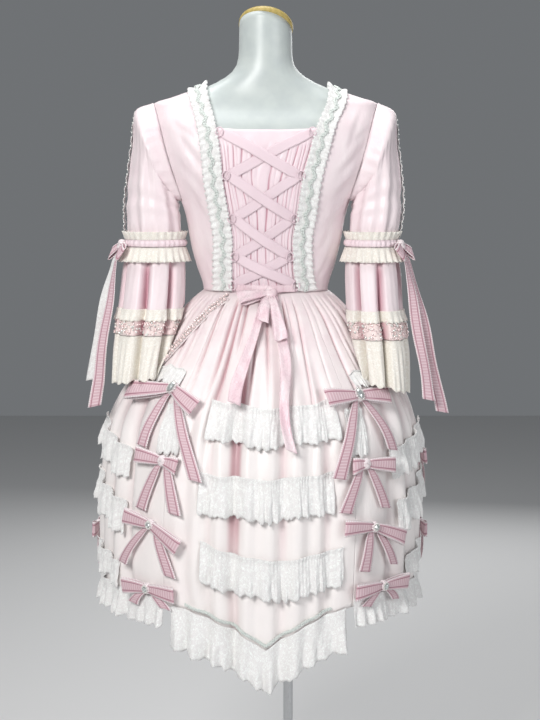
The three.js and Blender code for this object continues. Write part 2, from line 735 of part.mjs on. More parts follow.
function bowTail(place, sideways, down, width, endLift) {
  const rowOf = (t, deep) => {
    const half = mix(4, width * 0.46, Math.sqrt(t));
    const [a, b] = [Math.sign(sideways) * 3.5 + sideways * t ** 0.8, -down * t - 2];
    const c = mix(6, endLift, t) + 2 * Math.sin(Math.PI * t) - deep;
    return [place(a - half, b - (t === 1 ? 5 : 0), c), place(a + half, b, c)];
  };
  const steps = down > 100 ? [0, 0.3, 0.65, 1] : [0, 0.5, 1];
  return shell(steps.map((t) => rowOf(t, 0)), steps.map((t) => rowOf(t, laceWall)));
}

function bowGeometry(place, { loops, tails, width = bowWidth, endLift = 6 }, extra = []) {
  return joined([
    bowKnot(place),
    ...loops.map((reach, k) => bowLoop(place, k === 0 ? 1 : -1, reach, width)),
    ...tails.map(([sideways, down]) => bowTail(place, sideways, down, width, endLift)),
    ...extra,
  ]);
}

// Skirt's envelope drawn straight between the rows of its panels
function skirtChord(angle, z) {
  const heights = skirtRows.map((share) => mix(waistZ - seam, hemHeight(angle), share));
  let r = 1;
  while (r < heights.length - 1 && heights[r] > z) r++;
  const share = (heights[r - 1] - z) / (heights[r - 1] - heights[r]);
  return skirtEnvelope(angle, heights[r - 1]).lerp(skirtEnvelope(angle, heights[r]), share);
}

function skirtBow(row) {
  const place = (a, b, c) => {
    const z = row.z + b;
    const middle = skirtChord(row.angle, z);
    const radius = Math.hypot(middle.x, middle.y);
    return lifted(skirtChord, row.angle + (a / radius) * (180 / Math.PI), z, bowSeat + c);
  };
  return bowGeometry(place, row);
}

// Grid of a skirt panel, with small gathers below the waist that grow into the folds
function skirtGrid(panel) {
  const angles = Array.from({ length: panel.columns + 1 }, (_, i) =>
    mix(panel.from + seamAngle, panel.to - seamAngle, i / panel.columns),
  );
  const grid = skirtRows.map((share) =>
    angles.map((angle, i) => {
      const z = mix(waistZ - seam, hemHeight(angle), share);
      const down = waistZ - z;
      const fading = THREE.MathUtils.smoothstep(down, 60, 220);
      const spring = THREE.MathUtils.smoothstep(down, 2, 24) * (1 - fading);
      return skirtPoint(angle, z).addScaledVector(levelInward(angle), (i % 2) * gatherDepth * spring);
    }),
  );
  return { ...panel, angles, grid };
}

const skirtGrids = panels.map(skirtGrid);

function skirtPanel({ angles, grid }) {
  const inner = grid.map((row) =>
    row.map((p, i) => p.clone().addScaledVector(levelInward(angles[i]), skirtWall)),
  );
  return shell(grid, inner);
}

// Point on the flat faces of the skirt panels, for what is sewn onto them
function skirtFace(angle, z) {
  const turned = THREE.MathUtils.euclideanModulo(angle - panels[0].from, 360) + panels[0].from;
  const { angles, grid, columns } = skirtGrids.find((panel) => turned <= panel.to);
  const place = ((turned - angles[0]) / (angles[columns] - angles[0])) * columns;
  const i = Math.min(Math.max(Math.floor(place), 0), columns - 1);
  const onColumn = (c) => {
    let r = 1;
    while (r < grid.length - 1 && grid[r][c].z > z) r++;
    const [high, low] = [grid[r - 1][c], grid[r][c]];
    return high.clone().lerp(low, (high.z - z) / (high.z - low.z));
  };
  return onColumn(i).lerp(onColumn(i + 1), place - i);
}

// Angles for lace on the skirt: those of its columns, and as many between them as the split asks for
function laceAngles(from, to, split) {
  const turn = from < panels[0].from ? 360 : 0;
  const all = panels.flatMap((panel) =>
    Array.from({ length: panel.columns * split }, (_, i) =>
      mix(panel.from, panel.to, i / panel.columns / split),
    ),
  );
  return all.filter((angle) => angle > from + turn - 0.1 && angle < to + turn + 0.1);
}

// Ruffled lace on the skirt. Its upper edge lies on the cloth and its lower edge stands off in waves.
function skirtLace({ from, to, startZ, endZ, sag, height, flare, split = 1, steps = [0, 1], clear = 0 }) {
  const angles = laceAngles(from, to, split);
  const last = angles.length - 1;
  const grid = steps.map((share) =>
    angles.map((angle, i) => {
      const top = mix(startZ, endZ, i / last) - sag * Math.sin((Math.PI * i) / last);
      const lift = ruffleLift + clear + share * flare * (i % 2 ? 1 : 0.4);
      return lifted(skirtFace, angle, top - height * share, lift);
    }),
  );
  return wall(grid, laceWall);
}

// Ruffle along the hem, in waves that deepen towards its lower edge
function hemRuffle({ from, to, closing, drop, rise, flare, split }) {
  const angles = laceAngles(from, to, split);
  if (closing) angles.push(closing);
  const grid = [0, 1].map((share) =>
    angles.map((angle, i) => {
      const top = lifted(skirtFace, angle, hemHeight(angle) + rise, ruffleLift);
      const out = share * flare * (i % 2 ? 1 : 0.2);
      return top.addScaledVector(levelInward(angle), -out).setZ(top.z - share * (drop + rise));
    }),
  );
  return wall(grid, laceWall);
}

function hemBraid() {
  const angles = skirtGrids[0].angles.slice(4, 31);
  const grid = [16, 8].map((up) =>
    angles.map((angle) => lifted(skirtFace, angle, hemHeight(angle) + up, ruffleLift)),
  );
  return wall(grid, laceWall);
}

// Short beaded braid that slants down from the waist
function beadedBraid() {
  const course = [
    { angle: 33, z: 1040 },
    { angle: 42, z: 1014 },
    { angle: 49, z: 982 },
    { angle: 54, z: 952 },
    { angle: 58, z: 926 },
  ];
  const grid = [10, -10].map((up) =>
    course.map(({ angle, z }) => lifted(skirtChord, angle + up * 0.1, z + up * 0.7, ruffleLift)),
  );
  return wall(grid, laceWall);
}

// Ring of a sleeve. Where it would meet the skirt or bodice it is pushed out to lie clear of them.
function sleeveRing(ring, side, columns, lift, waveCount, wave) {
  const tilt = radians(ring.tilt ?? 0);
  return Array.from({ length: columns }, (_, i) => {
    const a = (i / columns) * 2 * Math.PI;
    const ripple = wave * Math.cos(waveCount * a);
    const across = (ring.across + lift + ripple) * Math.cos(a);
    const deep = (ring.deep + lift + ripple) * Math.sin(a);
    const point = vector(ring.x + across * Math.cos(tilt), ring.y + deep, ring.z + across * Math.sin(tilt));
    const clearance = skirtClearance + lift;
    const shift = column(skirtSections, 'shift', point.z) * side;
    const wide = column(skirtSections, 'side', point.z) + shift + clearance;
    const long = column(skirtSections, point.y > 0 ? 'back' : 'front', point.z) + clearance;
    const share = Math.hypot(point.x / wide, point.y / long);
    if (point.z < waistZ && share < 1) {
      point.x /= share;
      point.y /= share;
    }
    point.x *= side;
    return point;
  });
}

// The armhole's own ring, on the edge of the bodice
function armholeRing(side, columns) {
  const middle = (underarmZ + shoulderZ) / 2;
  const reach = (shoulderZ - underarmZ) / 2;
  return Array.from({ length: columns }, (_, i) => {
    const a = (i / columns) * 2 * Math.PI;
    const z = middle + reach * Math.cos(a);
    const front = Math.sin(a) < 0;
    const x = Math.abs(Math.sin(a)) < 1e-6 ? column(bodySections, 'side', z) : armhole(z);
    const angle = bodyAngle(x, z, front);
    const point = bodyPoint(Math.abs(Math.sin(a)) < 1e-6 ? 90 : angle, z);
    return vector(side * (point.x + 1), point.y, z);
  });
}

function upperSleeve(side) {
  const rings = sleeveRings[side > 0 ? 'left' : 'right'];
  const columns = 16;
  const below = rings.map((ring, i) => sleeveRing(ring, side, columns, 0, sleeveFolds, i < 3 ? 1.5 : 0));
  const grid = [armholeRing(side, columns), ...below];
  return wall(grid, satin, { wrap: true, flip: side > 0 });
}

function fluted(side, from, to, thickness, lift, scallop = 0) {
  const rings = flounceRings[side > 0 ? 'left' : 'right'].slice(from, to + 1);
  const gap = from > 0 ? flounceGap : 0;
  const grid = rings.map((ring, i) => {
    const lowered = { ...ring, z: ring.z - (i === 0 ? gap : 0) };
    const points = sleeveRing(lowered, side, fluteColumns, lift, flutes, ring.wave);
    if (scallop && i === rings.length - 1) points.forEach((p, k) => p.setZ(p.z + scallop * (k % 2)));
    return points;
  });
  return wall(grid, thickness, { wrap: true, flip: side > 0 });
}

// Gathered band round the elbow with a lace ruffle above and below
function elbowBand(side) {
  const arm = side > 0 ? 'left' : 'right';
  const below = [sleeveRings[arm][3], ...flounceRings[arm]];
  const columns = bandGathers * 2;
  const rows = [
    { z: 1155, lift: 9, wave: 2.4 },
    { z: 1141, lift: 4.4, wave: 0.8 },
    { z: 1127, lift: 6, wave: 0.8 },
    { z: 1106, lift: 12, wave: 3 },
  ];
  const grid = rows.map(({ z, lift, wave }) => {
    const ring = { z };
    for (const key of ['x', 'y', 'across', 'deep']) ring[key] = column(below, key, z);
    return sleeveRing(ring, side, columns, lift, bandGathers, wave);
  });
  return wall(grid, laceWall, { wrap: true, flip: side > 0 });
}

// Lace along the outer arm, from below the shoulder to the elbow band
function armLace(side) {
  const rings = sleeveRings[side > 0 ? 'left' : 'right'];
  const reach = 15;
  const fine = [];
  for (let k = 0; k < rings.length - 1; k++) {
    for (const t of [0, 0.5]) {
      const blend = {};
      for (const key of ['x', 'y', 'z', 'tilt', 'across', 'deep']) {
        blend[key] = mix(rings[k][key], rings[k + 1][key], t);
      }
      fine.push(blend);
    }
  }
  const grid = fine.map((ring, r) => {
    const tilt = radians(ring.tilt);
    return [-reach, 0, reach].map((offset) => {
      const a = offset / ring.deep;
      const lift = 4 + (offset === 0 ? 0 : 2.5) + 1.4 * (r % 2);
      const across = (ring.across + lift) * Math.cos(a);
      const deep = (ring.deep + lift) * Math.sin(a);
      const x = side * (ring.x + across * Math.cos(tilt));
      return vector(x, ring.y + deep, ring.z + across * Math.sin(tilt));
    });
  });
  return wall(grid, laceWall, { flip: side > 0 });
}

// Bow at the outer elbow, with tails that hang down the flounce
function sleeveBow(side) {
  const left = side > 0;
  const ring = flounceRings[left ? 'left' : 'right'][0];
  const facing = radians(left ? 24 : 30);
  const tailSlope = left ? 0.2 : 0.24;
  const [across, deep] = [ring.across + elbowBowLift, ring.deep + elbowBowLift];
  const start = vector(ring.x + across * Math.cos(facing), ring.y + deep * Math.sin(facing), elbowBowZ);
  const out = vector(Math.cos(facing), Math.sin(facing), 0);
  const along = vector(-Math.sin(facing), Math.cos(facing), 0);
  const place = (a, b, c) => {
    const spread = c + Math.min(15.4, Math.max(0, -b) * 0.55) + Math.max(0, -b - 28) * tailSlope;
    const point = start.clone().addScaledVector(along, a).addScaledVector(out, spread);
    return vector(side * point.x, point.y, point.z + b);
  };
  const loops = [[32, 30], [32, 30]];
  const tails = left ? [[-14, 242], [20, 286]] : [[-16, 298], [18, 272]];
  return bowGeometry(place, { loops, tails, width: 23, endLift: 2 });
}

// Bow of plain satin ribbon tied onto the waist ribbon, with long tails down the skirt
function waistBow() {
  const middle = 7;
  const place = (a, b, c) => {
    const z = 1044 + b;
    const low = Math.min(z, waistZ - 4);
    const angle = ((a - middle) / skirtChord(0, low).y) * (180 / Math.PI);
    const point = lifted(skirtChord, angle, low, bowSeat + c);
    return point.setZ(point.z + z - low);
  };
  const loops = [[46, 14], [84, 78]];
  const tails = [[44, 178], [-34, 253], [6, 48]];
  return bowGeometry(place, { loops, tails, width: 20, endLift: 17 }, [waistRibbon()]);
}

const root = new THREE.Group();
const stand = new THREE.Group();
const dress = new THREE.Group();
dress.position.x = poleOffset;
root.add(stand, dress);

stand.add(colouredMesh('stand_pole', standPole(), colours.steel, 0.3, 1));
stand.add(colouredMesh('stand_foot', standFoot(), colours.steel, 0.35, 1));
dress.add(colouredMesh('form_torso', formTorso(), colours.form, 0.45));
dress.add(colouredMesh('form_neck_cap', neckCap(), colours.wood, 0.4));

for (const side of [1, -1]) {
  const name = side > 0 ? 'left' : 'right';
  dress.add(colouredMesh('bodice_back_' + name, bodicePanel(side, false), colours.bodice));
  dress.add(colouredMesh('bodice_front_' + name, bodicePanel(side, true), colours.bodice));
  dress.add(colouredMesh('lace_opening_' + name, openingLace(side), colours.lace));
  dress.add(colouredMesh('sleeve_upper_' + name, upperSleeve(side), colours.bodice));
  dress.add(colouredMesh('sleeve_flounce_' + name, fluted(side, 0, 2, satin, 0), colours.satin));
  dress.add(colouredMesh('sleeve_bead_band_' + name, fluted(side, 2, 3, laceWall, 0), colours.beads));
  dress.add(colouredMesh('sleeve_cuff_' + name, fluted(side, 3, 4, laceWall, 0, 5), colours.cream));
  dress.add(colouredMesh('sleeve_band_' + name, elbowBand(side), colours.cream));
  dress.add(colouredMesh('sleeve_lace_' + name, armLace(side), colours.lace));
  dress.add(colouredMesh('sleeve_bow_' + name, sleeveBow(side), colours.ribbon));
}
dress.add(colouredMesh('bodice_front_middle', frontPanel(), colours.bodice));
dress.add(colouredMesh('shirred_panel', shirredPanel(), colours.satin));
dress.add(colouredMesh('lacing_ribbon_a', lacingRibbon(true), colours.lacing));
dress.add(colouredMesh('lacing_ribbon_b', lacingRibbon(false), colours.lacing));
dress.add(colouredMesh('waist_bow', waistBow(), colours.bow));

for (const panel of skirtGrids) dress.add(colouredMesh(panel.name, skirtPanel(panel), colours.satin));
for (const band of laceBands) dress.add(colouredMesh(band.name, skirtLace(band), colours.lace));
for (const ruffle of hemRuffles) dress.add(colouredMesh(ruffle.name, hemRuffle(ruffle), colours.lace));
for (const bow of bows) dress.add(colouredMesh(bow.name, skirtBow(bow), colours.ribbon));
dress.add(colouredMesh('hem_braid', hemBraid(), colours.braid));
dress.add(colouredMesh('beaded_braid', beadedBraid(), colours.beads));

export default root;
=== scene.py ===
import math
import bpy
import numpy as np
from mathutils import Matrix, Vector


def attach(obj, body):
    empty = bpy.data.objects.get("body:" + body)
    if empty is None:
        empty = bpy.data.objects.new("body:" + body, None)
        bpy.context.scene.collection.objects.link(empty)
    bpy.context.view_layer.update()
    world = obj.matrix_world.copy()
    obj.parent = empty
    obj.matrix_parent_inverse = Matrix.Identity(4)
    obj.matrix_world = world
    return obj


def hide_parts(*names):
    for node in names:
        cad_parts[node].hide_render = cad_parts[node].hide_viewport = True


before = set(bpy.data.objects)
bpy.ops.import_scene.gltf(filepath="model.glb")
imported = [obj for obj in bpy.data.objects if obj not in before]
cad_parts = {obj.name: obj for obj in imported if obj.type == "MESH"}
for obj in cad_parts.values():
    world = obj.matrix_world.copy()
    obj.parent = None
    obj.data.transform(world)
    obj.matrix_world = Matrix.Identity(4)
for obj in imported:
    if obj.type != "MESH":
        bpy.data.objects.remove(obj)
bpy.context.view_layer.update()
scene = bpy.context.scene
poleOffset = 42.0  # the dress's middle from the pole, in millimetres like all lengths of the dress
fullTurn = 2 * math.pi


# camera, light and floor, in metres
view = {"middle": 0.034, "away": 3.2, "height": 1.25, "lookAt": 0.919, "lens": 87.0, "sensor": 36}
lamps = {  # place, point that it lights, size, power, colour
    "key": ((1.5, 3.2, 2.6), (0, 0, 0.95), 1.2, 100, (1, 0.99, 0.98)),
    "fill": ((-2.6, 2.6, 1.5), (0, 0, 0.9), 1.8, 34, (0.97, 0.98, 1)),
    "top": ((0.2, -0.4, 3.2), (0, 0, 1), 1.6, 46, (1, 1, 1)),
    "behind": ((-0.6, -3.0, 1.8), (0, 0, 0.9), 2.0, 30, (1, 1, 1)),
}
room = {"air": (0.20, 0.21, 0.22, 1), "airStrength": 0.8, "floor": (0.62, 0.62, 0.62, 1),
        "floorRoughness": 0.9, "floorHalf": 6}


def placeAimed(name, data, place, target):  # an object at a place, its -Z axis towards a point
    thing = bpy.data.objects.new(name, data)
    thing.location = place
    thing.rotation_euler = (Vector(target) - Vector(place)).to_track_quat("-Z", "Y").to_euler()
    scene.collection.objects.link(thing)
    return thing


def makeCamera():  # looks along -Y, tipped down by the difference of the two heights
    data = bpy.data.cameras.new("camera")
    data.sensor_fit = "VERTICAL"
    data.sensor_height = view["sensor"]
    data.lens = view["lens"]
    place = (view["middle"], view["away"], view["height"])
    scene.camera = placeAimed("camera", data, place, (view["middle"], 0, view["lookAt"]))


def makeLamp(name, place, target, size, power, colour):  # square area lamp
    data = bpy.data.lights.new(name, "AREA")
    data.size, data.energy, data.color = size, power, colour
    placeAimed(name, data, place, target)


def makeRoom():  # even air light and one square of floor
    world = bpy.data.worlds.new("world")
    world.use_nodes = True
    air = world.node_tree.nodes["Background"]
    air.inputs[0].default_value = room["air"]
    air.inputs[1].default_value = room["airStrength"]
    scene.world = world
    mesh = bpy.data.meshes.new("floor")
    h = room["floorHalf"]
    mesh.from_pydata([(-h, -h, 0), (h, -h, 0), (h, h, 0), (-h, h, 0)], [], [(0, 1, 2, 3)])
    floor = bpy.data.objects.new("floor", mesh)
    scene.collection.objects.link(floor)
    material = bpy.data.materials.new("floor")
    material.use_nodes = True
    shader = material.node_tree.nodes["Principled BSDF"]
    shader.inputs["Base Color"].default_value = room["floor"]
    shader.inputs["Roughness"].default_value = room["floorRoughness"]
    mesh.materials.append(material)


makeCamera()
makeRoom()
for name, lamp in lamps.items():
    makeLamp(name, *lamp)
scene.view_settings.view_transform = "Standard"
print("stage ready")


# mathematics of surfaces
def table(names, *rows):  # columns by name, in rising order of the first
    return dict(zip(names.split(), np.array(sorted(rows), dtype=float).T))


def hermite(x, y, q):  # monotone cubic through the rows of y at x, read at q
    h = np.diff(x).reshape((-1,) + (1,) * (y.ndim - 1))
    d = np.diff(y, axis=0) / h
    same = d[:-1] * d[1:] > 0
    total = np.where(same, d[:-1] + d[1:], 1)
    slopes = np.concatenate([d[:1], np.where(same, 2 * d[:-1] * d[1:] / total, 0), d[-1:]])
    q = np.clip(np.asarray(q, dtype=float), x[0], x[-1])
    i = np.clip(np.searchsorted(x, q) - 1, 0, len(x) - 2)
    t = ((q - x[i]) / (x[i + 1] - x[i])).reshape(q.shape + (1,) * (y.ndim - 1))
    low = (1 + 2 * t) * (1 - t) ** 2 * y[i] + t * (1 - t) ** 2 * h[i].reshape(t.shape) * slopes[i]
    return low + t * t * (3 - 2 * t) * y[i + 1] + t * t * (t - 1) * h[i].reshape(t.shape) * slopes[i + 1]


def curve(rows, name, at):  # one column of a table, smoothly
    first = rows[next(iter(rows))]
    return hermite(first, rows[name], at)


def smooth(x, low, high):  # 0 below low, 1 above high, cubic between
    t = np.clip((x - low) / (high - low), 0, 1)
    return t * t * (3 - 2 * t)


def bell(x):  # e to the minus x squared
    return np.exp(-x * x)


def mix(a, b, t):  # a at 0, b at 1, straight between
    return a + (b - a) * t


def unit(v):  # each vector over its length
    return v / np.maximum(np.linalg.norm(v, axis=-1, keepdims=True), 1e-9)


def stack(x, y, z):  # coordinates side by side as points
    return np.stack(np.broadcast_arrays(x, y, z), -1).astype(float)


def wrapped(angle):  # to between -180 and 180
    return (np.asarray(angle, dtype=float) + 180) % 360 - 180


def normalOf(surface, angle, z):  # cross product of the steps round and down
    around = surface(angle + 0.5, z) - surface(angle - 0.5, z)
    return unit(np.cross(around, surface(angle, z - 2) - surface(angle, z + 2)))


def lifted(surface, angle, z, lift):  # moved out along the normal
    return surface(angle, z) + normalOf(surface, angle, z) * np.asarray(lift, dtype=float)[..., None]


def gridNormals(grid, wrap=False):  # columns run round, rows run down
    if wrap:
        around = np.roll(grid, -1, 1) - np.roll(grid, 1, 1)
    else:
        around = np.gradient(grid, axis=1)
    return unit(np.cross(around, np.gradient(grid, axis=0)))


def froth(u, v, seed):  # soft uneven bumps between -1 and 1: four slanting waves added
    first = np.sin(u + 0.31 * v + seed) + np.sin(-0.62 * u + 0.91 * v + 2.1 * seed)
    return (first + 0.7 * np.sin(0.47 * u + 1.27 * v + 1.3) + 0.7 * np.sin(1.73 * u - 0.52 * v + seed)) / 3.4


def lattice(rows, columns):  # shares down and round, as two arrays
    return np.meshgrid(np.linspace(0, 1, rows), np.linspace(0, 1, columns), indexing="ij")


# meshes from grids
def clothUv(grid, wrap):  # lengths along the cloth in metres, round by the longest row and down by the mean
    loop = np.concatenate([grid, grid[:, :1]], 1) if wrap else grid
    steps = np.linalg.norm(np.diff(loop, axis=1), axis=-1)
    row = steps[np.argmax(steps.sum(1))]
    u = np.concatenate([[0], np.cumsum(row)])
    fall = np.linalg.norm(np.diff(grid, axis=0), axis=-1).mean(1)
    v = np.concatenate([[0], np.cumsum(fall)])
    return np.stack(np.broadcast_arrays(u[None, :], v[:, None]), -1) * 0.001


def patchFaces(grid, wrap, flip, uv):  # corner numbers and corner uvs of every square
    rows, columns = grid.shape[:2]
    last = columns if wrap else columns - 1
    r, c = np.meshgrid(np.arange(rows - 1), np.arange(last), indexing="ij")
    here, after = r * columns + c, r * columns + (c + 1) % columns
    quads = np.stack([here, after, after + columns, here + columns], -1)
    corners = np.stack([uv[r, c], uv[r, c + 1], uv[r + 1, c + 1], uv[r + 1, c]], -2)
    if flip:
        quads, corners = quads[..., ::-1], corners[..., ::-1, :]
    return quads.reshape(-1, 4), corners.reshape(-1, 4, 2)


def patch(grid, wrap=False, flip=False, uv=None, shade=0):  # shade is painted shade, 1 deep in a fold and 0 on the face
    depth = np.clip(shade + np.zeros(grid.shape[:2]), 0, 1)
    uv = clothUv(grid, wrap) if uv is None else uv
    return {"grid": grid, "wrap": wrap, "flip": flip, "uv": uv, "shade": depth}


def faceOut(patches, outward):  # turns round each patch whose mean normal looks inwards
    for p in patches:
        p["flip"] = bool((gridNormals(p["grid"]) * outward).sum(-1).mean() < 0)
    return patches


def makePiece(name, patches, material, replaces=(), flat=False):  # one mesh of all the patches
    points, quads, corners, base = [], [], [], 0
    for p in patches:
        faces, uvs = patchFaces(p["grid"], p["wrap"], p["flip"], p["uv"])
        points.append(p["grid"].reshape(-1, 3))
        quads.append(faces + base)
        corners.append(uvs)
        base += len(points[-1])
    points = (np.concatenate(points) + [poleOffset, 0, 0]) * 0.001
    quads = np.concatenate(quads).astype(np.int32)
    mesh = bpy.data.meshes.new(name)
    mesh.vertices.add(len(points))
    mesh.vertices.foreach_set("co", points.astype(np.float32).ravel())
    mesh.loops.add(quads.size)
    mesh.loops.foreach_set("vertex_index", quads.ravel())
    mesh.polygons.add(len(quads))
    mesh.polygons.foreach_set("loop_start", np.arange(0, quads.size, 4, dtype=np.int32))
    layer = mesh.uv_layers.new(name="UVMap")
    layer.data.foreach_set("uv", np.concatenate(corners).astype(np.float32).ravel())
    mesh.polygons.foreach_set("use_smooth", np.full(len(quads), not flat))
    mesh.update(calc_edges=True)
    # the shade attribute carries painted shade for the satin materials to darken folds
    if any(p["shade"].any() for p in patches):
        shade = mesh.attributes.new("shade", "FLOAT", "POINT")
        values = np.concatenate([p["shade"].ravel() for p in patches])
        shade.data.foreach_set("value", values.astype(np.float32))
    mesh.materials.append(material)
    piece = bpy.data.objects.new(name, mesh)
    scene.collection.objects.link(piece)
    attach(piece, "root")
    if replaces:
        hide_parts(*replaces)
    return piece


def gridArea(grid, wrap):  # both triangles of every square, in square metres
    g = np.concatenate([grid, grid[:, :1]], 1) if wrap else grid
    a, b, c, d = g[:-1, :-1], g[:-1, 1:], g[1:, 1:], g[1:, :-1]
    first = np.linalg.norm(np.cross(b - a, c - a), axis=-1)
    second = np.linalg.norm(np.cross(c - a, d - a), axis=-1)
    return (first.sum() + second.sum()) * 0.5e-6


def makeCloth(name, patches, cloth, replaces=()):  # a sheet with its thickness on the inner side
    slotName, material, thick, held = cloths[cloth]
    piece = makePiece(name, patches, material, replaces)
    shell = piece.modifiers.new("thickness", "SOLIDIFY")
    shell.thickness = thick * 0.001
    shell.offset = -1
    area = sum(gridArea(p["grid"], p["wrap"]) for p in patches)
    wide = max(p["uv"][..., 0].max() for p in patches)
    # one patch is as long as its uv, several are laid end to end, with a hair more than the area asks
    long = patches[0]["uv"][..., 1].max() if len(patches) == 1 else area / wide * 1.02
    long = max(long, area / wide * 1.0005)


def tubeGrid(path, up, radius, sides=6):  # circles across a path, square to it
    along = unit(np.gradient(path, axis=0))
    side = unit(np.cross(up, along))
    over = np.cross(along, side)
    turn = np.arange(sides) / sides * fullTurn
    ring = side[:, None] * np.cos(turn)[None, :, None] + over[:, None] * np.sin(turn)[None, :, None]
    return path[:, None] + ring * radius


def makeBeads(name, centres, radii, material):
    # each bead is a cube's six faces of three by three points, pushed onto a sphere
    s = np.linspace(-1, 1, 3)
    a, b = np.meshgrid(s, s, indexing="ij")
    patches = []
    for axis in range(3):
        for sign in (-1, 1):
            face = unit(np.roll(np.stack([np.full_like(a, sign), a, b * sign], -1), axis, -1))
            balls = centres[:, None, None] + face[None] * np.reshape(radii, (-1, 1, 1, 1))
            patches += [patch(ball, uv=np.zeros((3, 3, 2))) for ball in balls]
    makePiece(name, patches, material)


# materials
def shaderOf(name):  # a new material, its tree and its shader
    material = bpy.data.materials.new(name)
    material.use_nodes = True
    tree = material.node_tree
    return material, tree, tree.nodes["Principled BSDF"]


def setSockets(tree, node, values):  # each socket by name or number, linked or set
    for key, value in values.items():
        if isinstance(value, bpy.types.NodeSocket):
            tree.links.new(value, node.inputs[key])
        else:
            node.inputs[key].default_value = value


def addNode(tree, kind, inputs, **settings):  # a node with its settings and sockets
    node = tree.nodes.new(kind)
    for key, value in settings.items():
        setattr(node, key, value)
    setSockets(tree, node, inputs)
    return node


def source(tree, kind):  # object or uv coordinates
    return addNode(tree, "ShaderNodeTexCoord", {}).outputs[kind]


def coordinate(tree, kind, scale, turn=(0, 0, 0)):  # coordinates stretched and turned
    inputs = {"Vector": source(tree, kind), "Scale": scale, "Rotation": turn}
    return addNode(tree, "ShaderNodeMapping", inputs).outputs[0]


def addNoise(tree, kind, scale, **inputs):  # noise on stretched coordinates
    inputs["Vector"] = coordinate(tree, kind, scale)
    return addNode(tree, "ShaderNodeTexNoise", inputs).outputs[0]


def calc(tree, operation, a, b=0.0):  # one sum, product or the like of two sockets
    return addNode(tree, "ShaderNodeMath", {0: a, 1: b}, operation=operation).outputs[0]


def ramp(tree, value, low, high, first=0.0, last=1.0):  # first at low to last at high
    inputs = {"Value": value, "From Min": low, "From Max": high, "To Min": first, "To Max": last}
    return addNode(tree, "ShaderNodeMapRange", inputs).outputs[0]


def blendColours(tree, share, a, b):  # a at 0, b at 1
    a, b = (c if isinstance(c, bpy.types.NodeSocket) else (*c, 1) for c in (a, b))
    return addNode(tree, "ShaderNodeMix", {0: share, 6: a, 7: b}, data_type="RGBA").outputs[2]


def addBump(tree, shader, height, distance, strength, under=None):  # laid over the bump under it
    bump = addNode(tree, "ShaderNodeBump", {"Height": height, "Distance": distance, "Strength": strength})
    if under is not None:
        tree.links.new(under.outputs[0], bump.inputs["Normal"])
    tree.links.new(bump.outputs[0], shader.inputs["Normal"])
    return bump


def satinMaterial(name, light, deep, roughness, crease, scale=26.0, foldShadeColour=(0.60, 0.33, 0.39), paintedLightBelow=None):
    # colour from a slow noise, with painted shade towards a darker colour in folds, creases from a stretched
    # noise and weave from a fine one
    material, tree, shader = shaderOf(name)
    share = ramp(tree, addNoise(tree, "Object", (9, 9, 4), Detail=3.0), 0.35, 0.7)
    # painted shade: the piece's shade attribute, 1 deep in a fold, pulls the colour towards the fold shade
    # colour
    shade = addNode(tree, "ShaderNodeAttribute", {}, attribute_name="shade").outputs["Fac"]
    face = blendColours(tree, share, light, deep)
    if paintedLightBelow is not None:  # painted light: towards a paler colour below a height of about 0.9 m, where the lower skirt looks more brightly lit
        height = addNode(tree, "ShaderNodeSeparateXYZ", {0: source(tree, "Object")}).outputs[2]
        face = blendColours(tree, ramp(tree, height, 0.98, 0.80, 0.0, 0.85), face, paintedLightBelow)
    creases = addNoise(tree, "Object", (scale, scale, scale * 0.35), Detail=4.0, Distortion=0.8)
    first = addBump(tree, shader, creases, crease, 0.55)
    addBump(tree, shader, addNoise(tree, "UV", (1500, 600, 1)), 0.00008, 0.35, first)
    setSockets(tree, shader, {
        "Base Color": blendColours(tree, shade, face, foldShadeColour), "Specular IOR Level": 0.6,
        "Roughness": ramp(tree, creases, 0.3, 0.7, roughness - 0.06, roughness + 0.08),
        "Sheen Weight": 0.25, "Sheen Roughness": 0.35, "Sheen Tint": (1, 0.93, 0.94, 1)})
    return material


def laceMaterial(name, thread, hole, motif=70.0, net=330.0):
    # net from the cell edges of a fine pattern, flowers from the cells of a coarse one
    material, tree, shader = shaderOf(name)
    fine, coarse = (coordinate(tree, "UV", (scale, scale, 1)) for scale in (net, motif))
    inputs = {"Vector": fine, "Randomness": 0.35}
    cells = addNode(tree, "ShaderNodeTexVoronoi", inputs, feature="DISTANCE_TO_EDGE")
    warp = addNode(tree, "ShaderNodeTexNoise", {"Vector": coarse, "Scale": 2.2, "Detail": 1.0}).outputs[1]
    shifted = addNode(tree, "ShaderNodeVectorMath", {0: coarse, 1: warp}, operation="ADD").outputs[0]
    flowers = addNode(tree, "ShaderNodeTexVoronoi", {"Vector": shifted, "Randomness": 0.6})
    petals = addNode(tree, "ShaderNodeTexVoronoi", {"Vector": shifted, "Scale": 2.6})
    gap = ramp(tree, cells.outputs[0], 0.08, 0.2)
    bare = ramp(tree, flowers.outputs[0], 0.32, 0.42)
    vein = ramp(tree, petals.outputs[0], 0.38, 0.5, 0.0, 0.7)
    holes = calc(tree, "MAXIMUM", calc(tree, "MULTIPLY", gap, bare), vein)
    addBump(tree, shader, holes, 0.0006, -0.8)
    setSockets(tree, shader, {"Base Color": blendColours(tree, holes, thread, hole), "Roughness": 0.75,
                              "Sheen Weight": 0.3})
    return material


ladder = {"lineAt": 0.29, "rungEvery": 0.0052, "picotEvery": 0.0034}  # share from the middle, then metres


